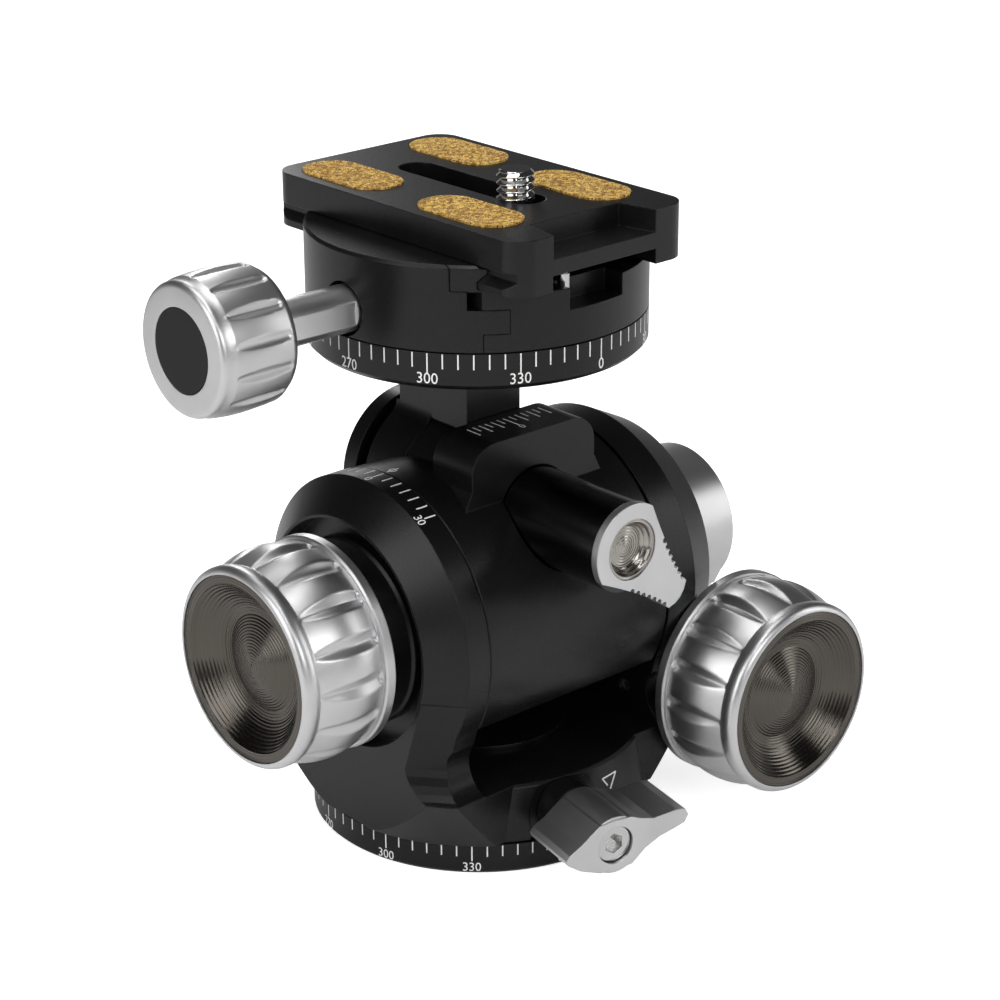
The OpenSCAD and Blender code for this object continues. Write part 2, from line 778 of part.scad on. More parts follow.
module drum() {
    color("#1d1d1f") difference() {
        union() {
            difference() {
                along_x(-drum_half_w, 0, drum_z) rotate_extrude($fn = smooth) polygon([
                    [0, 0], [drum_r - edge / 2, 0], [drum_r, edge / 2],
                    [drum_r, 2 * drum_half_w - edge / 2], [drum_r - edge / 2, 2 * drum_half_w],
                    [0, 2 * drum_half_w]
                ]);
                drum_low_cut();
            }
            // Front block, ledge and back cheek
            along_y(0, block_y0, 0) mirror([0, 1, 0])
                linear_extrude(height = block_y1 - block_y0) block_outline();
            along_y(0, block_y1 - over, post_z)
                cylinder(r = foot_r, h = slot_front_y - block_y1 + over, $fn = smooth);
            along_y(0, saddle_back_y0, post_z)
                cylinder(r = saddle_back_r, h = saddle_back_y1 - saddle_back_y0, $fn = smooth);
            // Trunnions
            along_x(-face_x + recess_depth, 0, drum_z)
                cylinder(r = trunnion_r, h = face_x - recess_depth - drum_half_w + over, $fn = smooth);
            along_x(drum_half_w - over, 0, drum_z)
                cylinder(r = right_trunnion_r, h = wheel_x - wheel_w / 2 - drum_half_w + over, $fn = smooth);
            along_x(drum_half_w, 0, drum_z)
                cylinder(r = wheel_bore_r, h = housing_x - drum_half_w - part_gap, $fn = smooth);
        }
        // Worm shaft's bore with its bearings, and the worm's room
        along_x(-face_x, 0, drum_z)
            cylinder(r = trunnion_bore_r, h = face_x - drum_half_w + over, $fn = fine);
        along_x(-drum_half_w - over, 0, drum_z)
            cylinder(r = bush_r, h = 2 * drum_half_w - 2 * over, $fn = fine);
        along_x(-worm_len / 2 - over, 0, drum_z)
            cylinder(r = worm_room_r, h = worm_len + 2 * over, $fn = fine);
        // The lock bolt's thread in the right trunnion
        along_x(drum_half_w, 0, drum_z) cylinder(r = lock_bolt_r, h = housing_x, $fn = fine);
        post_room();
        // Hole for the post's shaft, and the lever's seat
        along_y(0, block_y0 - over, post_z)
            cylinder(r = post_shaft_r, h = saddle_back_y1 - block_y0 + 2 * over, $fn = fine);
        along_y(0, -drum_r - over, post_z)
            cylinder(r = barrel_r + part_gap, h = drum_r + over + block_y0 + barrel_sink, $fn = smooth);
    }
}

// A full worm wheel on the drum's right trunnion
module drum_worm_wheel() {
    color("darkgoldenrod") along_x(wheel_x, 0, drum_z) difference() {
        translate([0, 0, -wheel_w / 2])
            linear_extrude(height = wheel_w, twist = twist_over(wheel_w), slices = 4)
            rotate(twist_over(wheel_w) / 2 + 360 * wheel_phase_share / wheel_teeth)
                wheel_outline(0, wheel_teeth - 1);
        translate([0, 0, -wheel_w]) cylinder(r = wheel_bore_r, h = 2 * wheel_w, $fn = smooth);
    }
}

module post_worm_sector() {
    half = ceil(sector_half_angle / 360 * wheel_teeth);
    reach = 2 * wheel_pitch_r;
    color("darkgoldenrod") difference() {
        union() {
            intersection() {
                along_y(0, 0, post_z) translate([0, 0, -wheel_w / 2])
                    linear_extrude(height = wheel_w, twist = twist_over(wheel_w), slices = 4)
                        rotate(twist_over(wheel_w) / 2 + 90) wheel_outline(-half, half);
                translate([0, 0, post_z]) rotate([-90, 0, 0]) translate([0, 0, -wheel_w])
                    linear_extrude(height = 2 * wheel_w)
                    polygon([
                        [0, 0], [-reach * sin(sector_half_angle), reach * cos(sector_half_angle)], [0, reach],
                        [reach * sin(sector_half_angle), reach * cos(sector_half_angle)]
                    ]);
            }
            along_y(0, -wheel_w / 2, post_z) cylinder(r = sleeve_r, h = foot_y0 + wheel_w / 2, $fn = smooth);
        }
        along_y(0, -wheel_w, post_z)
            cylinder(r = post_shaft_r + run_fit, h = foot_y0 + 2 * wheel_w, $fn = fine);
    }
}

module post_shaft() {
    len = saddle_back_y1 - post_lever_y - lever_plate_t - dish_depth - face_gap;
    color("silver") along_y(0, post_lever_y + lever_plate_t + dish_depth + face_gap, post_z) union() {
        cylinder(r = post_shaft_r - edge, h = edge, $fn = fine);
        translate([0, 0, edge])
            cylinder(r = post_shaft_r, h = len - edge, $fn = fine);
    }
}

module post_worm_bushes() {
    color("goldenrod") {
        along_x(-drum_half_w, 0, drum_z)
            ring(bush_r, shaft_r + run_fit, drum_half_w - worm_len / 2 - bush_room);
        along_x(worm_len / 2 + bush_room, 0, drum_z)
            ring(bush_r, shaft_r + run_fit, drum_half_w - 2 * over - over - worm_len / 2 - bush_room);
    }
}

// Tilt knobs, drawn along Z from the front face at 0 back to knob_len

module knob_shell() {
    difference() {
        rotate_extrude($fn = smooth) polygon([
            [shaft_r, knob_web], [cap_r + cap_gap, knob_web], [cap_r + cap_gap, 0],
            [lip_r - lip_round, 0],
            for (a = [15 : 15 : 90]) [lip_r - lip_round + lip_round * sin(a), lip_round - lip_round * cos(a)],
            [lip_r, lip_len - lip_round / 2], [grip_front_r, lip_len],
            for (t = [0.1 : 0.1 : 0.9]) [
                grip_front_r + (grip_mid_r - grip_front_r) * sin(180 * t) + (grip_back_r - grip_front_r) * t,
                lip_len + (knob_len - rim_len - lip_len) * t
            ],
            [grip_back_r, knob_len - rim_len], [knob_r - edge / 2, knob_len - rim_len],
            [knob_r, knob_len - rim_len + edge / 2], [knob_r, knob_len - edge], [knob_r - edge, knob_len],
            [knob_hub_r + over, knob_len], [knob_hub_r, knob_len - over],
            [knob_hub_r, knob_len + knob_hub_len], [shaft_r, knob_len + knob_hub_len]
        ]);
        around(knob_flutes) translate([grip_front_r + flute_r - flute_in, 0, lip_len + edge])
            rotate([0, -flute_tilt, 0])
                cylinder(r = flute_r, h = knob_len - rim_len - lip_len + edge / 2, $fn = fine);
    }
}

// The hollow cap: a flat lip, a sloping wall and a low dome in the middle
module knob_cap() {
    dome_z = cap_sink + cap_deep;
    wall_r = cap_r - cap_lip_w;
    rotate_extrude($fn = smooth) polygon([
        [0, dome_z + cap_floor], [cap_r, dome_z + cap_floor], [cap_r, cap_sink],
        [wall_r, cap_sink],
        for (t = [0.25 : 0.25 : 1]) [
            wall_r - (wall_r - cap_dome_r) * t, cap_sink + cap_deep * sin(90 * t)
        ],
        for (t = [0.75 : -0.25 : 0]) [cap_dome_r * t, dome_z - cap_dome_up * cos(90 * t)]
    ]);
}

module post_knob() { color("silver") along_x(-post_knob_back - knob_len, 0, drum_z) knob_shell(); }
module drum_knob() { color("silver") along_y(wheel_x, -drum_knob_back - knob_len, drum_knob_z) knob_shell(); }

module post_knob_cap() { color("#6b675f") along_x(-post_knob_back - knob_len, 0, drum_z) knob_cap(); }
module drum_knob_cap() {
    color("#6b675f") along_y(wheel_x, -drum_knob_back - knob_len, drum_knob_z) knob_cap();
}

module post_worm() {
    shaft_x0 = -post_knob_back - knob_len + knob_web + part_gap;
    color("gray") union() {
        along_x(0, 0, drum_z) worm_thread();
        along_x(shaft_x0, 0, drum_z)
            cylinder(r = shaft_r, h = -shaft_x0 + drum_half_w - 2 * over - over, $fn = fine);
    }
}

module drum_worm() {
    shaft_y0 = -drum_knob_back - knob_len + knob_web + part_gap;
    color("gray") union() {
        along_y(wheel_x, 0, drum_knob_z) worm_thread();
        along_y(wheel_x, shaft_y0, drum_knob_z)
            cylinder(r = shaft_r, h = -shaft_y0 + worm_house_y1, $fn = fine);
    }
}

// Lock levers

// Half width of a lever's tab at share t of its flank
function flank_n(r, tab_w, start, t, bend) =
    tab_w / 2 + (r * sin(acos(start)) - tab_w / 2) * pow(1 - t, bend);
function flank_u(r, reach, start, t) = start * r + (reach - lever_end_share * r - start * r) * t;

// A round head with a tab, drawn with the tab along +X
module lever_outline(r, reach, tab_w, start, bend) {
    steps = 10;
    union() {
        difference() {
            circle(r = r, $fn = smooth);
            translate([start * r, -2 * r]) square([2 * r, 4 * r]);
        }
        polygon([
            [start * r - edge, 0],
            for (i = [0 : steps]) [
                flank_u(r, reach, start, i / steps), flank_n(r, tab_w, start, i / steps, bend)
            ],
            [reach - lever_tip_share * r, tab_w / 4], [reach, 0], [reach - lever_tip_share * r, -tab_w / 4],
            for (i = [steps : -1 : 0]) [
                flank_u(r, reach, start, i / steps), -flank_n(r, tab_w, start, i / steps, bend)
            ]
        ]);
    }
}

// Grooves across both flanks of a tab
module serrations(r, reach, tab_w, start, bend, h) {
    for (s = [-1, 1]) for (i = [0 : serration_n - 1]) {
        t = serration_from + (serration_to - serration_from) * i / (serration_n - 1);
        translate([flank_u(r, reach, start, t), s * flank_n(r, tab_w, start, t, bend), -over])
            cylinder(r = serration_r, h = h + 2 * over, $fn = fine / 3);
    }
}

module post_lock_barrel() {
    color("#5a5a5c") along_y(0, post_lever_y + lever_plate_t, post_z) difference() {
        cylinder(r = barrel_r, h = block_y0 + barrel_sink - part_gap - post_lever_y - lever_plate_t,
            $fn = smooth);
        translate([0, 0, dish_depth + face_gap])
            cylinder(r = post_shaft_r + run_fit, h = barrel_len + over, $fn = fine);
        translate([0, 0, -over]) cylinder(r = dish_r, h = over + dish_depth, $fn = smooth);
    }
}

module post_lock_lever() {
    color("silver") along_y(0, post_lever_y, post_z) rotate(-lever_tab_angle) difference() {
        union() {
            linear_extrude(height = lever_plate_t)
                lever_outline(lever_ring_r, lever_tab_len, lever_tab_w, post_tab_start, post_tab_bend);
            difference() {
                linear_extrude(height = lever_tab_t)
                    lever_outline(lever_ring_r, lever_tab_len, lever_tab_w, post_tab_start, post_tab_bend);
                translate([0, 0, lever_plate_t])
                    cylinder(r = barrel_r + part_gap, h = lever_tab_t, $fn = smooth);
                translate([-2 * lever_ring_r, -2 * lever_ring_r, lever_plate_t])
                    cube([2 * lever_ring_r, 4 * lever_ring_r, lever_tab_t]);
            }
        }
        translate([0, 0, -over]) cylinder(r = dish_r, h = lever_plate_t + 2 * over, $fn = smooth);
        serrations(lever_ring_r, lever_tab_len, lever_tab_w, post_tab_start, post_tab_bend, lever_tab_t);
    }
}

module post_lock_cap() {
    r = dish_r - run_fit;
    color("#8a857c") along_y(0, post_lever_y, post_z) rotate_extrude($fn = smooth) polygon([
        [0, lever_plate_t + dish_depth], [r, lever_plate_t + dish_depth], [r, edge / 2], [r - edge, edge / 2],
        for (t = [0.34 : 0.33 : 1]) [
            r - edge - (r - edge - r * dish_in_share) * t, edge / 2 + dish_depth * sin(90 * t)
        ],
        for (t = [0.66 : -0.33 : 0]) [r * dish_in_share * t, edge / 2 + dish_depth - edge * cos(90 * t)],
        [0, edge / 2 + dish_depth - edge]
    ]);
}

module drum_lock_lever() {
    h = drum_lever_x1 - drum_lever_x0;
    tab_z = drum_tab_x0 - drum_lever_x0;
    color("silver") along_x(drum_lever_x0, 0, drum_z) difference() {
        union() {
            cylinder(r = drum_lever_r, h = h - edge, $fn = smooth);
            translate([0, 0, h - edge])
                cylinder(r1 = drum_lever_r, r2 = drum_lever_r - edge, h = edge, $fn = smooth);
            translate([0, 0, tab_z]) linear_extrude(height = h - tab_z)
                lever_outline(drum_lever_r - edge, drum_lever_tab, drum_lever_tab_w, drum_tab_start,
                    drum_tab_bend);
        }
        serrations(drum_lever_r - edge, drum_lever_tab, drum_lever_tab_w, drum_tab_start, drum_tab_bend, h);
        translate([0, 0, -over])
            cylinder(r = lock_bolt_head_r + face_gap, h = over + lock_bolt_head_h, $fn = smooth);
        translate([0, 0, -over]) cylinder(r = lock_bolt_r + run_fit, h = h - over, $fn = fine);
    }
}

module drum_lock_bolt() {
    x0 = drum_half_w + 2 * lock_bolt_r;
    color("silver") union() {
        along_x(x0, 0, drum_z)
            cylinder(r = lock_bolt_r, h = drum_lever_x1 - 2 * over - edge - x0, $fn = fine);
        along_x(housing_x, 0, drum_z)
            cylinder(r = lock_bolt_head_r, h = cover_t + part_gap + lock_bolt_head_h, $fn = smooth);
    }
}

// Post and its ring

module tilt_post() {
    depth = post_d;
    color("#1d1d1f") difference() {
        union() {
            along_y(0, foot_y0, post_z) cylinder(r = foot_r, h = foot_y1 - foot_y0, $fn = smooth);
            difference() {
                translate([-post_w / 2, post_front_y, post_z]) cube([post_w, depth, ring_z - post_z]);
                along_y(0, post_front_y - over, post_z)
                    cylinder(r = foot_r + face_gap, h = foot_y0 - post_front_y + over, $fn = smooth);
            }
            post_fillets();
        }
        along_y(0, foot_y0 - over, post_z)
            cylinder(r = post_shaft_r + run_fit, h = foot_y1 - foot_y0 + 2 * over, $fn = fine);
        for (s = [0, 1]) translate([0, pivot_screw_y * s + pivot_screw_r, ring_z - ring_h])
            cylinder(r = pivot_screw_r, h = ring_h + over, $fn = fine);
    }
}

// Concave fillets where the post meets its round foot
module post_fillets() {
    reach = foot_r + post_fillet;
    fillet_x = post_w / 2 + post_fillet;
    fillet_z = sqrt(reach * reach - fillet_x * fillet_x);
    for (s = [-1, 1]) along_y(0, foot_y0, post_z) difference() {
        linear_extrude(height = foot_y1 - foot_y0) polygon([
            [0, 0], [s * post_w / 2, -fillet_z], [s * fillet_x * foot_r / reach, -fillet_z * foot_r / reach]
        ]);
        translate([s * fillet_x, -fillet_z, -over])
            cylinder(r = post_fillet, h = foot_y1 - foot_y0 + 2 * over, $fn = fine);
    }
}

module scale_ring() {
    color("#1c1c1e") difference() {
        translate([0, 0, ring_z]) rotate_extrude($fn = smooth) polygon([
            [0, 0], [clamp_r - ring_edge, 0], [clamp_r, ring_edge], [clamp_r, ring_h], [0, ring_h]
        ]);
        translate([0, 0, ring_z + ring_h - pivot_head_h - part_gap])
            cylinder(r = pivot_head_r + part_gap, h = ring_h, $fn = smooth);
        for (s = [0, 1]) translate([0, pivot_screw_y * s + pivot_screw_r, ring_z - over])
            cylinder(r = pivot_screw_r, h = ring_h + 2 * over, $fn = fine);
    }
}

module pivot_screws() {
    color("dimgray") for (s = [0, 1])
        translate([0, pivot_screw_y * s + pivot_screw_r, ring_z - ring_h + edge])
        cylinder(r = pivot_screw_r - run_fit, h = 2 * ring_h - pivot_head_h - 2 * part_gap - edge,
            $fn = fine);
}

// Flanged pivot that holds the clamp on the ring
module clamp_pivot() {
    color("silver") union() {
        translate([0, 0, ring_z + ring_h - pivot_head_h - part_gap + run_fit])
            cylinder(r = pivot_head_r, h = pivot_head_h, $fn = smooth);
        translate([0, 0, ring_z + ring_h - part_gap - run_fit])
            cylinder(r = pivot_r, h = 2 * over + part_gap, $fn = smooth);
    }
}

// Clamp

module dovetail_channel(y0, y1) {
    top = clamp_z1 + over;
    translate([0, y1, 0]) rotate([90, 0, 0]) linear_extrude(height = y1 - y0) polygon([
        [-ledge_x, channel_z], [ledge_x, channel_z], [ledge_x, ledge_z],
        [channel_half_w, ledge_z], [channel_half_w, ledge_z + flange_h + part_gap / 2],
        [channel_half_w - jaw_lip_in, ledge_z + flange_h + part_gap / 2 + jaw_lip_in],
        [channel_half_w - jaw_lip_in, top], [-channel_half_w + jaw_lip_in, top],
        [-channel_half_w + jaw_lip_in, ledge_z + flange_h + part_gap / 2 + jaw_lip_in],
        [-channel_half_w, ledge_z + flange_h + part_gap / 2], [-channel_half_w, ledge_z], [-ledge_x, ledge_z]
    ]);
}

// The side of the disc that belongs to the jaw, grown by a gap
module jaw_region(gap) {
    far = -clamp_r - over;
    w = 2 * (clamp_r + over);
    union() {
        translate([far, -w / 2, clamp_z0 - over])
            cube([jaw_x4 + gap - far, w, jaw_z3 - clamp_z0 + over + gap]);
        translate([far, -w / 2, jaw_z3 - gap]) cube([jaw_x3 + gap - far, w, jaw_z2 - jaw_z3 + 2 * gap]);
        translate([far, -w / 2, jaw_z2]) cube([jaw_x2 + gap - far, w, jaw_z1 - jaw_z2 + gap]);
        translate([far, -w / 2, jaw_z1]) cube([jaw_x1 + gap - far, w, clamp_z1 - jaw_z1 + over]);
        translate([far, -jaw_mid_y - gap, jaw_z1 - gap])
            cube([-channel_half_w + jaw_lip_in + gap - far, 2 * (jaw_mid_y + gap), clamp_z1 - jaw_z1 + over]);
    }
}

module clamp_disc() {
    translate([0, 0, clamp_z0]) rotate_extrude($fn = smooth) polygon([
        [0, 0], [clamp_r, 0], [clamp_r, clamp_h - edge], [clamp_r - edge, clamp_h], [0, clamp_h]
    ]);
}

module clamp_body() {
    color("#1b1b1d") difference() {
        clamp_disc();
        dovetail_channel(-clamp_r - over, clamp_r + over);
        jaw_region(jaw_gap);
        // The open slot beside the jaw's step
        translate([jaw_x2, -clamp_r - over, jaw_z2])
            cube([jaw_slot_w, 2 * (clamp_r + over), jaw_z1 - jaw_z2]);
        // Room for the clamp screw, the guide pins and the pivot
        along_x(jaw_x4, 0, clamp_knob_z)
            cylinder(r = clamp_screw_r, h = clamp_screw_end - jaw_x4, $fn = fine);
        for (s = [-1, 1]) along_x(jaw_x4, s * guide_pin_y, clamp_knob_z)
            cylinder(r = guide_pin_r, h = guide_pin_x1 - jaw_x4, $fn = fine);
        translate([0, 0, clamp_z0 - over]) cylinder(r = pivot_r + run_fit, h = 3 * over, $fn = smooth);
        // Front notch under the plate's end
        translate([front_notch_x0, -clamp_r - over, channel_z - front_notch_depth])
            cube([front_notch_x1 - front_notch_x0, clamp_r + over - front_notch_y, front_notch_depth + over]);
        translate([safety_pin_x, safety_pin_y, channel_z - safety_pin_len - safety_pin_travel])
            cylinder(r = safety_pin_r + run_fit, h = clamp_h, $fn = fine);
    }
}

module movable_jaw() {
    color("#1b1b1d") difference() {
        intersection() {
            clamp_disc();
            jaw_region(0);
        }
        dovetail_channel(-clamp_r - over, clamp_r + over);
        along_x(-clamp_r - over, 0, clamp_knob_z)
            cylinder(r = clamp_hole_r, h = clamp_r + over + clamp_stem_x, $fn = fine);
        along_x(-clamp_r - over, 0, clamp_knob_z)
            cylinder(r = clamp_screw_r + run_fit, h = clamp_r, $fn = fine);
        along_x(jaw_x4 - retainer_t - 2 * part_gap, 0, clamp_knob_z)
            cylinder(r = retainer_r + part_gap, h = clamp_r, $fn = fine);
        for (s = [-1, 1]) along_x(guide_pin_x0, s * guide_pin_y, clamp_knob_z)
            cylinder(r = guide_pin_r + run_fit, h = clamp_r, $fn = fine);
    }
}

module jaw_guide_pins() {
    color("silver") for (s = [-1, 1]) along_x(guide_pin_x0 + part_gap, s * guide_pin_y, clamp_knob_z)
        cylinder(r = guide_pin_r, h = guide_pin_x1 - guide_pin_x0 - part_gap, $fn = fine);
}

module screw_retainer() {
    color("silver") along_x(jaw_x4 - retainer_t - part_gap, 0, clamp_knob_z)
        ring(retainer_r, clamp_screw_r, retainer_t);
}

module clamp_screw() {
    color("gray") along_x(clamp_stem_x, 0, clamp_knob_z)
        cylinder(r = clamp_screw_r - run_fit, h = clamp_screw_end - clamp_stem_x - part_gap, $fn = fine);
}

module clamp_knob() {
    len = clamp_knob_x1 - clamp_knob_x0;
    flute_place = clamp_knob_front_r + clamp_flute_r - clamp_flute_in;
    color("silver") along_x(clamp_knob_x0, 0, clamp_knob_z) difference() {
        union() {
            difference() {
                rotate_extrude($fn = smooth) polygon([
                    [0, clamp_disc_t], [clamp_disc_r, clamp_disc_t], [clamp_disc_r, 0],
                    [clamp_knob_front_r - 2 * edge, 0],
                    for (a = [30 : 30 : 90]) [
                        clamp_knob_front_r - 2 * edge + 2 * edge * sin(a), 2 * edge * (1 - cos(a))
                    ],
                    [clamp_knob_front_r + edge / 2, len * clamp_bead_share],
                    for (t = [0.1 : 0.2 : 0.9]) [
                        clamp_knob_front_r + (clamp_knob_mid_r - clamp_knob_front_r) * sin(120 * t + 30),
                        len * (clamp_flute_share + clamp_grip_share * t)
                    ],
                    [clamp_knob_back_r, len - 2 * edge], [clamp_knob_back_r - 2 * edge, len], [0, len]
                ]);
                around(clamp_flutes)
                    translate([flute_place, 0, len * clamp_flute_share])
                    cylinder(r = clamp_flute_r, h = len * clamp_grip_share, $fn = fine / 2);
            }
            translate([0, 0, len - over])
                cylinder(r = clamp_stem_r, h = clamp_stem_x - clamp_knob_x1 + over, $fn = fine);
        }
        // Two flats along the stem
        for (s = [0, 1]) mirror([0, s, 0]) translate([-clamp_stem_r, clamp_stem_flat, len])
            cube([2 * clamp_stem_r, clamp_stem_r, -clamp_knob_x1 - clamp_r]);
    }
}

module clamp_knob_disc() {
    color("#161618") along_x(clamp_knob_x0, 0, clamp_knob_z)
        cylinder(r = clamp_disc_r - part_gap / 2, h = clamp_disc_t, $fn = smooth);
}

module safety_pin() {
    color("gainsboro") translate([safety_pin_x, safety_pin_y, channel_z + safety_pin_top - safety_pin_len])
        union() {
            cylinder(r = safety_pin_r, h = safety_pin_len - edge / 2, $fn = fine);
            cylinder(r = safety_pin_r - edge / 2, h = safety_pin_len, $fn = fine);
        }
}

// Quick-release plate

module rounded_plate(w, l, r, h) {
    union() {
        translate([-w / 2 + r, -l / 2, 0]) cube([w - 2 * r, l, h]);
        translate([-w / 2, -l / 2 + r, 0]) cube([w, l - 2 * r, h]);
        for (x = [-1, 1]) for (y = [-1, 1]) translate([x * (w / 2 - r), y * (l / 2 - r), 0])
            cylinder(r = r, h = h, $fn = fine);
    }
}

module stadium(half_w, y0, y1, h) {
    union() {
        for (y = [y0 + half_w, y1 - half_w]) translate([0, y, 0]) cylinder(r = half_w, h = h, $fn = fine);
        translate([-half_w, y0 + half_w, 0]) cube([2 * half_w, y1 - y0 - 2 * half_w, h]);
    }
}

// Side view of the plate: bottom flange, groove and thick top
module plate_outline() {
    half = plate_w / 2;
    top = plate_z1;
    side = top - plate_side_h;
    polygon([
        [-half, plate_z0], [half, plate_z0], [half, plate_z0 + flange_h],
        [half - groove_in, plate_z0 + flange_h + groove_in], [half - groove_in, side], [half, side],
        [half, top], [-half, top], [-half, side], [groove_in - half, side],
        [groove_in - half, plate_z0 + flange_h + groove_in],
        [-half, plate_z0 + flange_h]
    ]);
}

module quick_plate() {
    color("#19191b") difference() {
        intersection() {
            translate([0, plate_l / 2, 0]) rotate([90, 0, 0])
                linear_extrude(height = plate_l) plate_outline();
            translate([0, 0, plate_z0 - over])
                rounded_plate(plate_w, plate_l, plate_corner, plate_h + 2 * over);
        }
        // Open notch at the front end
        translate([0, 0, plate_z1 - notch_depth]) linear_extrude(height = notch_depth + over) polygon([
            [-notch_half_w, notch_y], [notch_half_w, notch_y], [notch_right, -plate_l / 2 - edge],
            [notch_right, -plate_l / 2 - over], [notch_left, -plate_l / 2 - over],
            [notch_left, -plate_l / 2 - edge]
        ]);
        // Channel along the underside
        translate([-under_half_w, -plate_l / 2 - over, plate_z0 - over])
            cube([2 * under_half_w, plate_l + 2 * over, under_depth + over]);
        // Slot for the camera screw, with its step
        translate([0, 0, plate_z0 - over]) stadium(slot_half_w, slot_y0, slot_y1, plate_h + 2 * over);
        translate([0, 0, plate_z1 - slot_step_depth])
            stadium(slot_step_half_w, slot_y0 - slot_step_half_w + slot_half_w,
                slot_y1 + slot_step_half_w - slot_half_w, slot_step_depth + over);
        // Beds for the cork pads
        pad_places() translate([0, 0, plate_z1 - pad_sink])
            stadium(pad_w / 2 + run_fit, -pad_l / 2 - run_fit, pad_l / 2 + run_fit, pad_sink + over);
    }
}

module pad_places() {
    for (x = [-pad_x, pad_x]) for (y = [pad_y0, pad_y1]) translate([x, y, 0]) children();
}

module cork_pads() {
    color("#c99b4a") pad_places() translate([0, 0, plate_z1 - pad_sink])
        stadium(pad_w / 2, -pad_l / 2, pad_l / 2, pad_t);
}

// Collar that keeps the camera screw in its slot
module screw_clip() {
    z = plate_z1 - slot_step_depth;
    color("dimgray") translate([0, camera_screw_y, z + part_gap / 2])
        ring(clip_r, camera_neck_r + run_fit, clip_t);
}

// Camera screw: head under the plate, thin neck held by the clip, thread above the plate
module camera_screw() {
    neck_z = plate_z0 + under_depth - part_gap;
    thread_z = plate_z1 + camera_thread_up;
    color("gainsboro") translate([0, camera_screw_y, 0]) difference() {
        union() {
            translate([0, 0, neck_z - camera_head_h])
                cylinder(r = camera_head_r, h = camera_head_h, $fn = smooth);
            translate([0, 0, neck_z - run_fit])
                cylinder(r = camera_neck_r, h = thread_z - neck_z + 2 * run_fit, $fn = fine);
            translate([0, 0, thread_z])
                cylinder(r = camera_screw_r, h = camera_screw_up - camera_thread_up - camera_dome,
                    $fn = fine);
            translate([0, 0, plate_z1 + camera_screw_up - camera_dome])
                cylinder(r1 = camera_screw_r, r2 = camera_screw_r - camera_dome, h = camera_dome, $fn = fine);
        }
        translate([-camera_head_r - over, -coin_slot_w / 2, neck_z - camera_head_h - over])
            cube([2 * (camera_head_r + over), coin_slot_w, coin_slot_d + over]);
    }
}

base_ring();
tripod_insert();
pan_spindle();
base_screws();
pan_washer();
yoke();
floor_cap();
left_bearing_cap();
side_cover();
worm_set_screws();
drum_worm_bushes();
pan_collar();
pan_brake_pad();
pan_lock_bolt();
pan_lock_lever();
drum();
drum_worm_wheel();
post_shaft();
post_worm_bushes();
drum_worm();
drum_knob();
drum_knob_cap();
post_worm();
post_knob();
post_knob_cap();
drum_lock_lever();
drum_lock_bolt();
post_lock_barrel();
post_lock_lever();
post_lock_cap();
tilt_post();
post_worm_sector();
scale_ring();
pivot_screws();
clamp_pivot();
clamp_body();
jaw_guide_pins();
safety_pin();
movable_jaw();
clamp_screw();
clamp_knob();
clamp_knob_disc();
screw_retainer();
quick_plate();
cork_pads();
screw_clip();
camera_screw();
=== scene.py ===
import json
import math

import bmesh
import bpy
import numpy as np
from mathutils import Matrix, Vector


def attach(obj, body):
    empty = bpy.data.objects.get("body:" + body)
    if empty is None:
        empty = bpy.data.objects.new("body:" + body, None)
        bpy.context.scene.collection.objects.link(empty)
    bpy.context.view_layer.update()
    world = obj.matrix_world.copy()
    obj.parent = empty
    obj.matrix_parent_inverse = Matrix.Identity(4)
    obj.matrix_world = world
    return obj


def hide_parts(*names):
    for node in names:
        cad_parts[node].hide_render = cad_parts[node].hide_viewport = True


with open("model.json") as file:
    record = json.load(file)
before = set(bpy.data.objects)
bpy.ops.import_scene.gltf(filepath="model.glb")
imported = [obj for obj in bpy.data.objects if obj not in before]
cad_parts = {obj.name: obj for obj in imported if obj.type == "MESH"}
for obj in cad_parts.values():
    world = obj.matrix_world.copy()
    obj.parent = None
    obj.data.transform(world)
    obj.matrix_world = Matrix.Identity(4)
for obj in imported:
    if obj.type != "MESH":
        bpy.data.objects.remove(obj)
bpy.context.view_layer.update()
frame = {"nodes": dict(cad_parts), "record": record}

nodes = frame["nodes"]
mm = 0.001
print("frame loaded:", len(nodes), "nodes")


# Small helpers

def hexToLinear(code):
    # sRGB hex to linear: c / 12.92 below the toe, ((c + 0.055) / 1.055) ^ 2.4 above it
    c = np.array([int(code[i:i + 2], 16) for i in (1, 3, 5)]) / 255
    linear = np.where(c <= 0.04045, c / 12.92, ((c + 0.055) / 1.055) ** 2.4)
    return (*[float(v) for v in linear], 1.0)


def addNode(tree, kind, settings=None, links=None):
    # One node: settings are its own properties, links its inputs, each a value or another's socket
    node = tree.nodes.new(kind)
    for name, value in (settings or {}).items():
        setattr(node, name, value)
    for name, value in (links or {}).items():
        if isinstance(value, bpy.types.NodeSocket):
            tree.links.new(value, node.inputs[name])
        else:
            node.inputs[name].default_value = value
    return node


def newMaterial(name):
    material = bpy.data.materials.new(name)
    material.use_nodes = True
    tree = material.node_tree
    tree.nodes.clear()
    output = addNode(tree, "ShaderNodeOutputMaterial")
    shader = addNode(tree, "ShaderNodeBsdfPrincipled")
    tree.links.new(shader.outputs[0], output.inputs["Surface"])
    return material, tree, shader


def objectPlace(tree, centre=(0, 0, 0)):
    # Object coordinates in millimetres, counted from centre
    coords = addNode(tree, "ShaderNodeTexCoord")
    return addNode(tree, "ShaderNodeMapping", {"vector_type": "POINT"}, {
        "Vector": coords.outputs["Object"], "Scale": (1 / mm, 1 / mm, 1 / mm),
        "Location": [-c for c in centre]}).outputs[0]


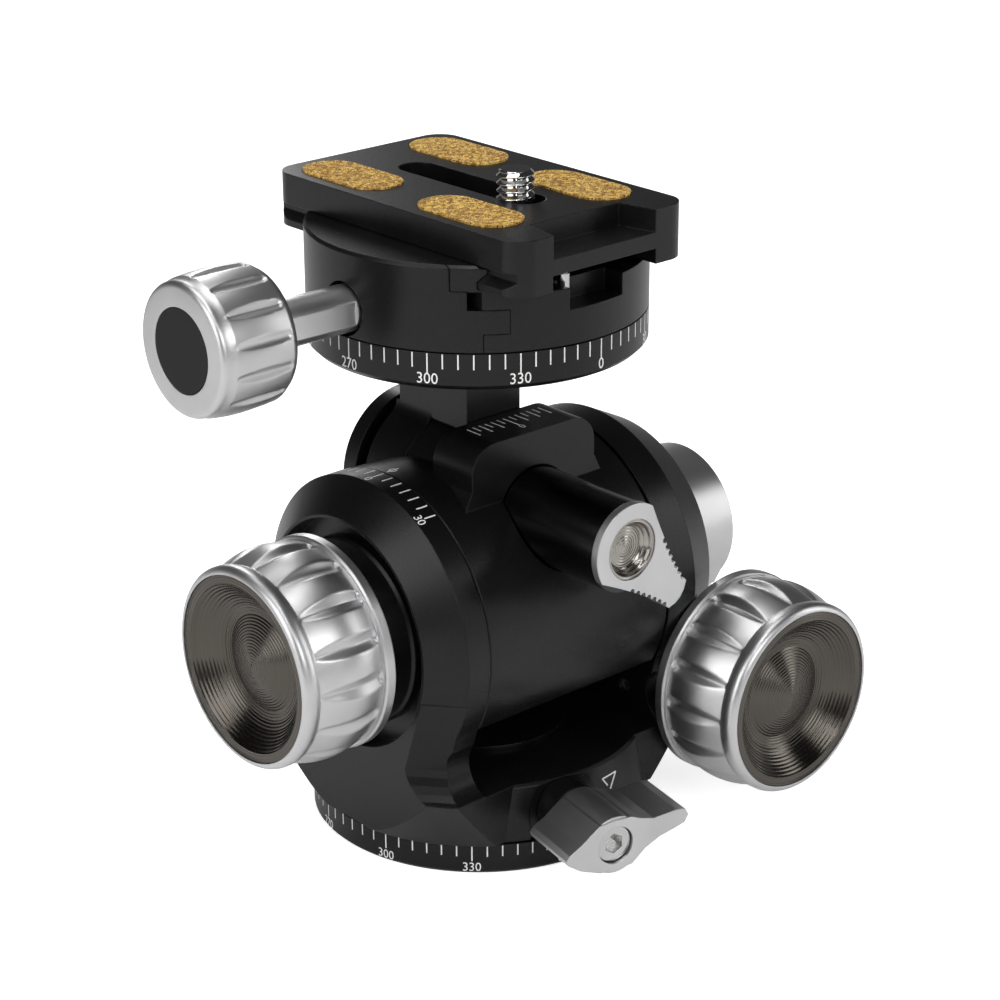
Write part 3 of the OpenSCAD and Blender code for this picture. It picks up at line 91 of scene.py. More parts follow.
def mixColours(tree, factor, first, second, band=(0, 1)):
    # The first colour up to the start of band, the second from its end on
    ramp = addNode(tree, "ShaderNodeValToRGB", {}, {"Fac": factor})
    for stop, place, code in zip(ramp.color_ramp.elements, band, (first, second)):
        stop.position = place
        stop.color = hexToLinear(code)
    return ramp


# Metals

metalFinish = {
    # Aluminium, bead blasted and anodised black: even, deep, with a broad soft sheen
    "blackAnodised": dict(colours=("#0c0c0d", "#111112"), metallic=0.0, specular=0.30,
                          roughness=(0.26, 0.36), grain=0.22, grainBump=0.08, edge=0.3),
    # Aluminium, blasted and clear anodised: satin white metal
    "satinSilver": dict(colours=("#c4c4c5", "#cdcdce"), metallic=1.0, specular=0.5,
                        roughness=(0.33, 0.40), grain=0.16, grainBump=0.03, edge=0.25),
    # Aluminium, turned smooth and anodised grey: dark and clear in its reflections
    "greyAnodised": dict(colours=("#3c3c3e", "#464648"), metallic=1.0, specular=0.5,
                         roughness=(0.20, 0.25), grain=0.25, grainBump=0.03, edge=0.2),
    # Steel, nickel plated: bright and sharp
    "platedSteel": dict(colours=("#bdbdbd", "#cbcbca"), metallic=1.0, specular=0.5,
                        roughness=(0.14, 0.20), grain=0.5, grainBump=0.02, edge=0.12),
    # Steel, polished before its nickel: a mirror
    "brightNickel": dict(colours=("#cfcfcf", "#d8d8d7"), metallic=1.0, specular=0.5,
                         roughness=(0.05, 0.09), grain=0.6, grainBump=0.01, edge=0.05),
    # Steel, blackened in oil: a dull dark grey
    "darkSteel": dict(colours=("#2b2b2d", "#38383a"), metallic=1.0, specular=0.5,
                      roughness=(0.30, 0.40), grain=0.3, grainBump=0.05, edge=0.12),
    # Bronze, hobbed and left bare: brown gold, slightly scratched
    "bronze": dict(colours=("#9c7440", "#b0874c"), metallic=1.0, specular=0.5,
                   roughness=(0.26, 0.36), grain=0.4, grainBump=0.05, edge=0.1),
    # Aluminium disc, blasted fine and anodised black: duller than the body
    "blackDisc": dict(colours=("#0d0d0e", "#121213"), metallic=0.0, specular=0.2,
                      roughness=(0.42, 0.5), grain=0.3, grainBump=0.08, edge=0.15),
    # Acetal washer, moulded white: waxy
    "whiteAcetal": dict(colours=("#e2e2dc", "#ecece8"), metallic=0.0, specular=0.4,
                        roughness=(0.35, 0.45), grain=0.8, grainBump=0.02, edge=0.1)}

# What they share. Bump depth is in millimetres, cloud scale in clouds a millimetre.
metalPattern = dict(grainDetail=3.0, grainRoughness=0.6, grainBand=(0.3, 0.7), bumpDepth=0.05,
                    cloudScale=0.09, cloudDetail=2.0, cloudBand=(0.35, 0.65), edgeSamples=4)


def makeMetal(name, look, pattern):
    # grain and edge are millimetres. A blasted grain is about 0.1 mm, drawn coarser to show.
    material, tree, shader = newMaterial(name)
    place = objectPlace(tree)
    grain = addNode(tree, "ShaderNodeTexNoise", {}, {
        "Vector": place, "Scale": 1 / look["grain"], "Detail": pattern["grainDetail"],
        "Roughness": pattern["grainRoughness"]})
    cloud = addNode(tree, "ShaderNodeTexNoise", {}, {
        "Vector": place, "Scale": pattern["cloudScale"], "Detail": pattern["cloudDetail"]})
    colour = mixColours(tree, cloud.outputs[0], *look["colours"], band=pattern["cloudBand"])
    rough = addNode(tree, "ShaderNodeMapRange", {}, {
        "Value": grain.outputs[0],
        "From Min": pattern["grainBand"][0], "From Max": pattern["grainBand"][1],
        "To Min": look["roughness"][0], "To Max": look["roughness"][1]})
    soft = addNode(tree, "ShaderNodeBevel", {"samples": pattern["edgeSamples"]}, {
        "Radius": look["edge"] * mm})
    bump = addNode(tree, "ShaderNodeBump", {}, {
        "Height": grain.outputs[0], "Strength": look["grainBump"],
        "Distance": pattern["bumpDepth"] * mm, "Normal": soft.outputs[0]})
    tree.links.new(colour.outputs[0], shader.inputs["Base Color"])
    tree.links.new(rough.outputs[0], shader.inputs["Roughness"])
    tree.links.new(bump.outputs[0], shader.inputs["Normal"])
    shader.inputs["Metallic"].default_value = look["metallic"]
    shader.inputs["Specular IOR Level"].default_value = look["specular"]
    return material


finish = {name: makeMetal(name, look, metalPattern) for name, look in metalFinish.items()}

# Aluminium caps, turned and anodised warm grey: the rings catch the light in a fan.
# feed is millimetres a ring, drawn coarser than a real lathe's 0.1 so that it shows.
turned = dict(colours=("#524e49", "#5e5a54"), feed=0.5, ringBump=0.8, ringDepth=0.03,
              roughness=0.22, fan=0.8, unevenScale=1.6, unevenDetail=4.0, unevenShare=1.6)
paleTurned = dict(turned, colours=("#94908b", "#aaa6a0"))  # the small cap of the post's lock
turnedCaps = {
    "post_knob_cap": dict(centre=(0, 0, 41), axis="x", look=turned),
    "drum_knob_cap": dict(centre=(36.3, 0, 22.5), axis="y", look=turned),
    "post_lock_cap": dict(centre=(0, 0, 59.5), axis="y", look=paleTurned)}


def makeTurned(name, centre, axis, look):
    # Rings: height = sin(2 pi distance / feed) + unevenShare * noise of distance
    material, tree, shader = newMaterial(name)
    # Away from the turning axis: the place with its part along the axis left out
    outward = addNode(tree, "ShaderNodeVectorMath", {"operation": "MULTIPLY"}, {
        0: objectPlace(tree, centre), 1: [0.0 if k == axis else 1.0 for k in "xyz"]})
    distance = addNode(tree, "ShaderNodeVectorMath", {"operation": "LENGTH"}, {
        0: outward.outputs[0]}).outputs["Value"]
    phase = addNode(tree, "ShaderNodeMath", {"operation": "MULTIPLY"}, {
        0: distance, 1: 2 * math.pi / look["feed"]})
    wave = addNode(tree, "ShaderNodeMath", {"operation": "SINE"}, {0: phase.outputs[0]})
    uneven = addNode(tree, "ShaderNodeTexNoise", {"noise_dimensions": "1D"}, {
        "W": distance, "Scale": look["unevenScale"], "Detail": look["unevenDetail"]})
    height = addNode(tree, "ShaderNodeMath", {"operation": "MULTIPLY_ADD"}, {
        0: uneven.outputs[0], 1: look["unevenShare"], 2: wave.outputs[0]})
    bump = addNode(tree, "ShaderNodeBump", {}, {
        "Height": height.outputs[0], "Strength": look["ringBump"],
        "Distance": look["ringDepth"] * mm})
    colour = mixColours(tree, uneven.outputs[0], *look["colours"])
    # The light is drawn out across the rings, so the tangent points away from the axis
    tangent = addNode(tree, "ShaderNodeVectorTransform", {
        "vector_type": "VECTOR", "convert_from": "OBJECT", "convert_to": "WORLD"}, {
        0: outward.outputs[0]})
    tree.links.new(tangent.outputs[0], shader.inputs["Tangent"])
    tree.links.new(colour.outputs[0], shader.inputs["Base Color"])
    tree.links.new(bump.outputs[0], shader.inputs["Normal"])
    shader.inputs["Metallic"].default_value = 1.0
    shader.inputs["Roughness"].default_value = look["roughness"]
    shader.inputs["Anisotropic"].default_value = look["fan"]
    return material


for name, cap in turnedCaps.items():
    finish[name] = makeTurned("turned." + name, **cap)


# Cork and paint

# Cork, ground to 0.5-1 mm granules and pressed: golden with darker bark specks, dull
corkLook = dict(granule=0.62, light="#f0c766", dark="#8f611c", speck="#45270a", roughness=0.85,
                specksAGranule=2.4, speckDetail=2.0, speckBand=(0.52, 0.59),
                bump=0.6, bumpDepth=0.12)


def makeCork(look):
    material, tree, shader = newMaterial("pressedCork")
    place = objectPlace(tree)
    cells = addNode(tree, "ShaderNodeTexVoronoi", {}, {
        "Vector": place, "Scale": 1 / look["granule"], "Randomness": 1.0})
    value = addNode(tree, "ShaderNodeSeparateColor", {}, {0: cells.outputs["Color"]})
    colour = mixColours(tree, value.outputs[0], look["dark"], look["light"])
    specks = addNode(tree, "ShaderNodeTexNoise", {}, {
        "Vector": place, "Scale": look["specksAGranule"] / look["granule"],
        "Detail": look["speckDetail"]})
    where = addNode(tree, "ShaderNodeMapRange", {}, {
        "Value": specks.outputs[0],
        "From Min": look["speckBand"][0], "From Max": look["speckBand"][1]})
    mixed = addNode(tree, "ShaderNodeMix", {"data_type": "RGBA"}, {
        0: where.outputs[0], 6: colour.outputs[0], 7: hexToLinear(look["speck"])})
    bump = addNode(tree, "ShaderNodeBump", {}, {
        "Height": cells.outputs["Distance"], "Strength": look["bump"],
        "Distance": look["bumpDepth"] * mm})
    tree.links.new(mixed.outputs[2], shader.inputs["Base Color"])
    tree.links.new(bump.outputs[0], shader.inputs["Normal"])
    shader.inputs["Roughness"].default_value = look["roughness"]
    return material


# White enamel rubbed into the marks: matt, a little uneven
enamelLook = dict(colours=("#e0e0de", "#f4f4f2"), patchScale=1.5, roughness=0.6)


def makeEnamel(look):
    material, tree, shader = newMaterial("markEnamel")
    patches = addNode(tree, "ShaderNodeTexNoise", {}, {
        "Vector": objectPlace(tree), "Scale": look["patchScale"]})
    colour = mixColours(tree, patches.outputs[0], *look["colours"])
    tree.links.new(colour.outputs[0], shader.inputs["Base Color"])
    shader.inputs["Roughness"].default_value = look["roughness"]
    return material


finish["cork"] = makeCork(corkLook)
finish["markEnamel"] = makeEnamel(enamelLook)

# The finish of each node, by the record's material slot, and the few that differ
slotFinish = {
    "black_anodised": "blackAnodised", "satin_silver": "satinSilver",
    "grey_anodised": "greyAnodised", "plated_steel": "platedSteel", "dark_steel": "darkSteel",
    "bronze": "bronze", "white_plastic": "whiteAcetal", "cork": "cork"}
nodeFinish = {name: name for name in turnedCaps}
nodeFinish["clamp_knob_disc"] = "blackDisc"
nodeFinish["worm_set_screws"] = "satinSilver"
for part in frame["record"]["subparts"]:
    name = part["node"]
    key = nodeFinish.get(name) or slotFinish[part["material_slot"]]
    materials = nodes[name].data.materials
    materials.clear()
    materials.append(finish[key])
print("finishes given:", len(nodes))


# Meshes from arrays

def meshObject(name, place, faces):
    # place in millimetres
    mesh = bpy.data.meshes.new(name)
    mesh.from_pydata((np.asarray(place, float) * mm).tolist(), [],
                     [list(map(int, face)) for face in faces])
    holder = bpy.data.objects.new(name, mesh)
    bpy.context.scene.collection.objects.link(holder)
    return holder


def newPiece(name, place, faces, materialName, body, slotName, crease=None):
    # crease is the angle in degrees past which an edge stays sharp. Without it the faces are flat.
    piece = meshObject(name, place, faces)
    mesh = piece.data
    mesh.materials.append(finish[materialName])
    mesh.polygons.foreach_set("use_smooth", np.full(len(mesh.polygons), crease is not None))
    mesh.update()
    if crease is not None:
        mesh.set_sharp_from_angle(angle=math.radians(crease))
    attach(piece, body)
    return piece


def meshPlaces(mesh):
    places = np.empty(len(mesh.vertices) * 3)
    mesh.vertices.foreach_get("co", places)
    return places.reshape(-1, 3)


def joined(*parts):
    # Several (places, faces) as one
    places, faces, count = [], [], 0
    for place, face in parts:
        places.append(place)
        faces += [np.asarray(one) + count for one in face]
        count += len(place)
    return np.concatenate(places), faces


def sheetBoxes(outlines, depth):
    # Boxes on a sheet, all at once: four corners each, anticlockwise, from one depth to another
    corners = np.concatenate([
        np.concatenate([outlines, np.full((*outlines.shape[:2], 1), z)], 2) for z in depth], 1)
    box = np.array([[3, 2, 1, 0], [4, 5, 6, 7], [0, 1, 5, 4], [1, 2, 6, 5], [2, 3, 7, 6],
                    [3, 0, 4, 7]])
    faces = box[None] + 8 * np.arange(len(outlines))[:, None, None]
    return corners.reshape(-1, 3), faces.reshape(-1, 4)


def ticks(x, width, low, high, depth):
    # Ticks of one width centred on x, each from y = low to y = high
    x, low, high = np.broadcast_arrays(*np.atleast_1d(x, low, high))
    left, right = x - width / 2, x + width / 2
    outlines = np.stack([np.stack(corner, 1) for corner in (
        (left, low), (right, low), (right, high), (left, high))], 1)
    return sheetBoxes(outlines, depth)


def strokes(points, width, depth):
    # Each stroke runs from one point of the sheet to the next: corner = point + side * width / 2
    start, end = np.asarray(points[:-1], float), np.asarray(points[1:], float)
    along = (end - start) / np.linalg.norm(end - start, axis=1)[:, None]
    side = np.column_stack([-along[:, 1], along[:, 0]]) * width / 2
    return sheetBoxes(np.stack([start - side, end - side, end + side, start + side], 1), depth)


def flatRing(x, y, radius, width, depth, count=40):
    # A rectangle, width by depth, carried round a circle of that radius
    angle = np.linspace(0, 2 * np.pi, count, endpoint=False)
    low, high = depth
    inner, outer = radius - width / 2, radius + width / 2
    rings = [np.column_stack([x + r * np.cos(angle), y + r * np.sin(angle), np.full(count, z)])
             for r, z in ((inner, low), (outer, low), (outer, high), (inner, high))]
    k = np.arange(count)
    after = (k + 1) % count
    faces = [np.column_stack([a * count + k, a * count + after, b * count + after, b * count + k])
             for a, b in ((0, 3), (3, 2), (2, 1), (1, 0))]
    return np.concatenate(rings), np.concatenate(faces)[:, ::-1]


digitLook = dict(narrow=0.94, curveSteps=3)


def digits(words, xs, ys, height, depth):
    # Numbers on a sheet, each centred on (x, y) and height tall, from one depth to another
    parts = []
    for word, x, y in zip(words, xs, ys):
        curve = bpy.data.curves.new("digits", "FONT")
        curve.body, curve.align_x, curve.align_y = word, "CENTER", "CENTER"
        curve.resolution_u = digitLook["curveSteps"]
        curve.extrude = 0.5  # gives two sheets, which are set to the depths below
        holder = bpy.data.objects.new("digits", curve)
        mesh = bpy.data.meshes.new_from_object(holder)
        place = meshPlaces(mesh)
        faces = [list(p.vertices) for p in mesh.polygons]
        low, high = place.min(0), place.max(0)
        scale = height / (high[1] - low[1])
        middle = (low[:2] + high[:2]) / 2
        flat = (place[:, :2] - middle) * scale * [digitLook["narrow"], 1] + [x, y]
        parts.append((np.column_stack([flat, np.where(place[:, 2] > 0, *depth[::-1])]), faces))
        bpy.data.objects.remove(holder)
        bpy.data.curves.remove(curve)
        bpy.data.meshes.remove(mesh)
    return joined(*parts)


# Degree scales

markDepth = (-0.08, 0.02)  # every mark reaches a little into its surface and stands a hair proud


def aroundZ(sheet, radius, zero):
    # Sheet x is an arc length round +Z, y is height, z is how far out: angle = zero + x / radius
    angle = zero + sheet[:, 0] / radius
    out = radius + sheet[:, 2]
    return np.column_stack([out * np.cos(angle), out * np.sin(angle), sheet[:, 1]])


def aroundX(sheet, radius, centreZ):
    # Sheet x is an arc length forwards from the top, y is place along X: angle = x / radius
    angle = sheet[:, 0] / radius
    out = radius + sheet[:, 2]
    return np.column_stack([sheet[:, 1], -out * np.sin(angle), centreZ + out * np.cos(angle)])


# zero is the azimuth of the number 0 in degrees
ringScales = {
    "baseScale": dict(radius=30.2, zero=-104.28, top=5.42, short=2.05, long=2.9, width=0.23,
                      digit=1.65, digitZ=1.42, step=5, numbered=30, body="base"),
    "clampScale": dict(radius=29.0, zero=-87.43, top=93.42, short=2.5, long=3.3, width=0.23,
                       digit=1.85, digitZ=89.25, step=5, numbered=30, body="post_body")}
for name, look in ringScales.items():
    degree = np.arange(0, 360, look["step"])
    length = np.where(degree % look["numbered"] == 0, look["long"], look["short"])
    tens = np.arange(0, 360, look["numbered"])
    sheet, faces = joined(
        ticks(np.radians(degree) * look["radius"], look["width"], look["top"] - length,
              look["top"], markDepth),
        digits([str(d) for d in tens], np.radians(tens) * look["radius"],
               np.full(len(tens), look["digitZ"]), look["digit"], markDepth))
    newPiece(name, aroundZ(sheet, look["radius"], math.radians(look["zero"])), faces,
             "markEnamel", look["body"], "black_anodised")

drumScale = dict(radius=26.5, centreZ=41, inner=-21.15, length=2.35, width=0.25, digit=1.6,
                 digitX=-24.45, step=5, reach=30)
look = drumScale
degree = np.arange(-look["reach"], look["reach"] + 1, look["step"])
numbered = [-look["reach"], 0, look["reach"]]
sheet, faces = joined(
    ticks(np.radians(degree) * look["radius"], look["width"], look["inner"] - look["length"],
          look["inner"], markDepth),
    digits([str(abs(d)) for d in numbered], np.radians(numbered) * look["radius"],
           [look["digitX"]] * len(numbered), look["digit"], markDepth))
newPiece("drumScale", aroundX(sheet, look["radius"], look["centreZ"]), faces,
         "markEnamel", "yoke_body", "black_anodised")

blockScale = dict(top=73.8, pitch=1.35, ticks=6, inner=-6.3, short=2.1, long=3.5, middle=4.0,
                  width=0.25, digit=1.6, digitY=-11.2)
look = blockScale
place = np.arange(-look["ticks"], look["ticks"] + 1)
length = np.where(place == 0, look["middle"],
                  np.where(place % 2 == 0, look["long"], look["short"]))
depth = [look["top"] + z for z in markDepth]
newPiece("blockScale", *joined(
    ticks(place * look["pitch"], look["width"], look["inner"] - length, look["inner"], depth),
    digits(["0"], [0], [look["digitY"]], look["digit"], depth)),
    "markEnamel", "drum_body", "black_anodised")

# Index on the drum: a small ring crossed by a line
drumIndex = dict(radius=26.3, centreZ=41, x=-18.7, arc=-0.6, ring=0.62, width=0.22, line=1.3)
look = drumIndex
sheet, faces = joined(
    flatRing(look["arc"], look["x"], look["ring"], look["width"], markDepth),
    ticks(look["arc"], look["width"], look["x"] - look["line"], look["x"] + look["line"],
          markDepth))
newPiece("drumIndex", aroundX(sheet, look["radius"], look["centreZ"]), faces,
         "markEnamel", "drum_body", "black_anodised")

# Index on the plinth: an open triangle that points down at the base's scale. The cone's ends are
# (radius, height). Its bars are straight, so it stands prouder than the marks that follow a ring.
panIndex = dict(coneLow=(30, 5.8), coneHigh=(29, 15.5), azimuth=-81.7, top=13.0, tip=10.45,
                half=1.85, width=0.28, gap=0.35, depth=(-0.08, 0.1))
look = panIndex
openEnd = (-look["half"] * look["gap"], look["tip"] + (look["top"] - look["tip"]) * look["gap"])
sheet, faces = strokes(
    [openEnd, (-look["half"], look["top"]), (look["half"], look["top"]), (0, look["tip"])],
    look["width"], look["depth"])
radius = np.interp(sheet[:, 1], [look["coneLow"][1], look["coneHigh"][1]],
                   [look["coneLow"][0], look["coneHigh"][0]])
newPiece("panIndex", aroundZ(sheet, radius, math.radians(look["azimuth"])), faces,
         "markEnamel", "yoke_body", "black_anodised")
print("scales made")


# Knobs, collar and screw: bodies turned from a profile

def smoothStep(t):
    # 3 t^2 - 2 t^3, held at its ends
    t = np.clip(t, 0, 1)
    return t * t * (3 - 2 * t)


def fluteAngles(look):
    # Columns gather at each flute: angle = (k + v |v|^0.6 / 2) * pitch, with v from -1 to 1
    v = np.linspace(-1, 1, look["columns"], endpoint=False)
    turn = v * np.abs(v) ** 0.6 / 2
    return ((np.arange(look["flutes"])[:, None] + turn) * 2 * np.pi / look["flutes"]).ravel()


def fluteDepth(t, angle, look):
    # A cutter that runs straight meets the barrel in a lens. Along it, t from 0 to 1, the share of
    # its depth is 1 - ((t - middle) / reach)^2, rounded off at the back, and its half width goes
    # with the square root of that. Across it the cut is 1 - |arc / half width|^cut.
    share = np.clip(1 - ((t - look["middle"]) / look["reach"]) ** 2, 0, None)
    share = np.where((t > 0) & (t < 1), share * smoothStep((1 - t) / look["endRound"]), 0)
    pitch = 2 * np.pi / look["flutes"]
    arc = (np.mod(angle + pitch / 2, pitch) - pitch / 2) * look["gripR"]
    half = look["fluteHalf"] * np.sqrt(np.maximum(share, 1e-9))
    return look["fluteDepth"] * share * np.clip(1 - np.abs(arc / half) ** look["cut"], 0, None)


def flutedRows(look, before, t, grip, behind):
    # Radius, height and angle of each point. Only the grip's rows, at t, are cut by the flutes.
    profile = np.concatenate([before, grip, behind])
    share = np.concatenate([np.full(len(before), -1.0), t, np.full(len(behind), -1.0)])[:, None]
    angle = fluteAngles(look)[None, :]
    return profile[:, :1] - fluteDepth(share, angle, look), profile[:, 1:], angle


def roundedLip(radius, size, steps):
    # A quarter circle of radius size from the front face, at height 0, to the barrel
    bend = np.radians(np.linspace(0, 90, steps))
    return np.column_stack([radius - size * (1 - np.sin(bend)), size * (1 - np.cos(bend))])


def turnedBody(radius, height, angle, ring):
    # Rows of points at (radius, height) round the axis. A ring's last row joins its first, and a
    # solid's ends are closed.
    rows, around = radius.shape
    place = np.stack([radius * np.cos(angle), radius * np.sin(angle),
                      height * np.ones_like(radius)], 2).reshape(-1, 3)
    row, column = np.meshgrid(np.arange(rows if ring else rows - 1), np.arange(around),
                              indexing="ij")
    above, after = (row + 1) % rows * around, (column + 1) % around
    row = row * around
    quads = np.stack([row + column, row + after, above + after, above + column], 2).reshape(-1, 4)
    last = (rows - 1) * around
    ends = [] if ring else [list(range(around))[::-1], list(range(last, last + around))]
    return place, [*quads, *ends]


def plainRing(look, low, high):
    # A rectangle, from the inner radius to the outer and from low to high, turned round the axis
    angle = np.linspace(0, 2 * np.pi, look["around"], endpoint=False)[None, :]
    profile = np.array([(look["inner"], low), (look["outer"], low),
                        (look["outer"], high), (look["inner"], high)])
    return turnedBody(profile[:, :1] * np.ones_like(angle), profile[:, 1:], angle, True)


def alongX(place, seat):
    # The turning axis becomes +X from seat, and the profile's own X points down
    return np.column_stack([seat[0] + place[:, 2], seat[1] + place[:, 1], seat[2] - place[:, 0]])


def alongY(place, seat):
    # The turning axis becomes +Y from seat, and the profile's own Y points down
    return np.column_stack([seat[0] + place[:, 0], seat[1] + place[:, 2], seat[2] - place[:, 1]])


# Tilt knob, from its front face back: lip, barrel with flutes, rim and hub, round the shaft's bore
tiltKnob = dict(shaft=3, web=6.0, mouth=16.22, lip=17.5, lipRound=1.3, lipSteps=9, lipLength=3.2,
                grooveDepth=0.25, grooveStart=0.9, grooveBottom=0.45,
                front=17.1, bulge=1.27, back=17.75, rim=18.6, rimLength=2.1, length=17.9, edge=0.3,
                hub=8, hubGroove=1, hubLength=4.9, flutes=16, columns=26, gripRows=56, gripR=18.3,
                fluteHalf=1.6, fluteDepth=0.9, middle=0.62, reach=0.65, endRound=0.06, cut=1.45,
                crease=34)
postKnobSeat = (-52.2, 0, 41)
drumKnobSeat = (36.3, -44.1, 22.5)


def tiltKnobBody(look):
    # Barrel: r = front + bulge sin(pi t) + (back - front) t
    end, edge, hub = look["length"], look["edge"], look["hub"]
    gripEnd, hubEnd = end - look["rimLength"], end + look["hubLength"]
    t = np.linspace(0, 1, look["gripRows"])
    grip = np.column_stack([
        look["front"] + look["bulge"] * np.sin(np.pi * t) + (look["back"] - look["front"]) * t,
        look["lipLength"] + (gripEnd - look["lipLength"]) * t])
    before = [(look["shaft"], look["web"]), (look["mouth"], look["web"]), (look["mouth"], 0),
              *roundedLip(look["lip"], look["lipRound"], look["lipSteps"]),
              (look["lip"], look["lipLength"] - look["grooveStart"]),
              (look["lip"] - look["grooveDepth"], look["lipLength"] - look["grooveBottom"])]
    behind = [(look["rim"] - edge, gripEnd), (look["rim"], gripEnd + edge),
              (look["rim"], end - edge), (look["rim"] - edge, end),
              (hub + look["hubGroove"], end), (hub, end - look["hubGroove"]),
              (hub, hubEnd), (look["shaft"], hubEnd)]
    return turnedBody(*flutedRows(look, before, t, grip, behind), True)


place, faces = tiltKnobBody(tiltKnob)
for name, body, seated in (
        ("post_knob", "post_knob_body", alongX(place, postKnobSeat)),
        ("drum_knob", "drum_knob_body", alongY(place, drumKnobSeat))):
    knob = newPiece(name + "Turned", seated, faces, "satinSilver", body, "satin_silver",
                    crease=tiltKnob["crease"])
    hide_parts(name)

# Clamp knob, from its front face back: lip, fluted barrel and a stem with two flats. shoulder is
# out from the front and ahead of the grip, each rearEdge in from the back and ahead of the end.
clampKnob = dict(disc=7, discDepth=1.2, front=11, bulge=0.7, barrel=(30, 150), round=1.0,
                 lipSteps=7, shoulder=(0.1, 0.45), grip=(2.5, 13.4), back=10.9, length=14.9,
                 rearEdge=[(0, 0.9), (0.25, 0.4), (0.9, 0)],
                 stem=4, stemFlat=3.5, flatEnd=31.9, stemEnd=36.4, flatStep=0.01,
                 flutes=14, columns=26, gripRows=44, gripR=11.5, fluteHalf=1.05, fluteDepth=0.6,
                 middle=0.54, reach=0.6, endRound=0.08, cut=1.6, crease=34, seat=(-60.9, 0, 98.2))


def clampKnobBody(look):
    # Barrel: r = front + bulge sin(bend), with bend from 30 to 150 degrees
    t = np.linspace(0, 1, look["gripRows"])
    low, high = look["grip"]
    bend = np.radians(look["barrel"][0] + (look["barrel"][1] - look["barrel"][0]) * t)
    grip = np.column_stack([look["front"] + look["bulge"] * np.sin(bend), low + (high - low) * t])
    end, stem, step = look["length"], look["stem"], look["flatStep"]
    before = [(look["disc"], look["discDepth"]), (look["disc"], 0),
              *roundedLip(look["front"], look["round"], look["lipSteps"]),
              (look["front"] + look["shoulder"][0], low - look["shoulder"][1])]
    behind = [*[(look["back"] - into, end - ahead) for into, ahead in look["rearEdge"]],
              (stem, end), (stem, end + step), (stem, look["flatEnd"]),
              (stem, look["flatEnd"] + step), (stem, look["stemEnd"])]
    radius, height, angle = flutedRows(look, before, t, grip, behind)
    # Flats: r = stemFlat / |sin(angle)| where that is less
    flat = (height > end) & (height <= look["flatEnd"])
    limit = look["stemFlat"] / np.maximum(np.abs(np.sin(angle)), 0.1)
    return turnedBody(np.where(flat, np.minimum(radius, limit), radius), height, angle, False)


place, faces = clampKnobBody(clampKnob)
knob = newPiece("clampKnobTurned", alongX(place, clampKnob["seat"]), faces, "satinSilver",
                "clamp_knob_body", "satin_silver", crease=clampKnob["crease"])
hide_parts("clamp_knob")

# Quarter-inch camera screw: head, neck and thread
screwLook = dict(x=0, y=-9.7, head=7.4, headLow=103.72, headTop=105.62, headEdge=0.4, seatEdge=0.2,
                 neck=2.45, neckGap=0.02, start=113.4, top=118.17, core=2.5, outer=3.175,
                 pitch=1.27, crest=1.15, chamfer=0.7, flat=2.5, around=96, along=200, crease=35)


def threadedScrew(look):
    # r = core + (outer - core) * crest * (1 - |2 frac(turns) - 1|), where
    # turns = (z - start) / pitch - angle / 2 pi, cut off at outer and by the flat top's chamfer
    angle = np.linspace(0, 2 * np.pi, look["around"], endpoint=False)[None, :]
    z = np.linspace(look["start"], look["top"], look["along"])[:, None]
    turns = (z - look["start"]) / look["pitch"] - angle / (2 * np.pi)
    wave = np.abs(2 * np.mod(turns, 1) - 1)
    crest = np.clip(look["crest"] * (1 - wave), 0, 1)
    radius = look["core"] + (look["outer"] - look["core"]) * crest
    limit = np.interp(look["top"] - z, [0, look["chamfer"]], [look["flat"], look["outer"]])
    radius = np.minimum(radius, limit)
    head, low, top = look["head"], look["headLow"], look["headTop"]
    lower = np.array([
        (head - look["headEdge"], low), (head, low + look["headEdge"]),
        (head, top - look["seatEdge"]), (head - look["seatEdge"], top),
        (look["neck"], top), (look["neck"], look["start"] - look["neckGap"])])
    radius = np.concatenate([lower[:, :1] * np.ones((1, look["around"])), radius])
    place, faces = turnedBody(radius, np.concatenate([lower[:, 1:], z]), angle, False)
    return place + [look["x"], look["y"], 0], faces


screw = newPiece("threadedScrew", *threadedScrew(screwLook), "brightNickel", "screw",
                 "plated_steel", crease=screwLook["crease"])
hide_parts("camera_screw")

# Collar behind the pan lever, at height z: as low as the lever's hub, and out along the azimuth
collarLook = dict(azimuth=-102, z=10.9, inner=2.6, outer=5.1, start=28.9, end=33.4, around=72,
                  crease=35)


def collarBody(look):
    # The profile's axis points out along the azimuth, its X sideways and its Y up
    place, faces = plainRing(look, look["start"], look["end"])
    azimuth = math.radians(look["azimuth"])
    outX, outY = math.cos(azimuth), math.sin(azimuth)
    return np.column_stack([place[:, 2] * outX - place[:, 0] * outY,
                            place[:, 2] * outY + place[:, 0] * outX,
                            look["z"] + place[:, 1]]), faces


collar = newPiece("panCollarRound", *collarBody(collarLook), "blackAnodised", "yoke_body",
                  "black_anodised", crease=collarLook["crease"])
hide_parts("pan_collar")
print("knobs, collar and camera screw made")


# Quick-release plate and the clip under its slot

# The construction's plate with its slot brought to one width and its channel cut deeper.
# over is how far the cutters reach past the plate.
plateLook = dict(top=113.57, bottom=104.37, slotHalf=3.35, fillHalf=5.1, fillDepth=1.5,
                 slotY=(-15.4, 18.4), slotSteps=49, channelX=(-11.3, 11.4), channel=2.6,
                 length=62, over=1, merge=0.002, flat=0.5, crease=20)


def prism(outline, low, high):
    # Upright walls on a closed outline that runs anticlockwise
    count = len(outline)
    place = np.concatenate([np.column_stack([outline, np.full(count, z)]) for z in (low, high)])
    k = np.arange(count)
    after = (k + 1) % count
    walls = np.column_stack([k, after, after + count, k + count])
    return place, [list(range(count))[::-1], list(range(count, 2 * count)), *walls]


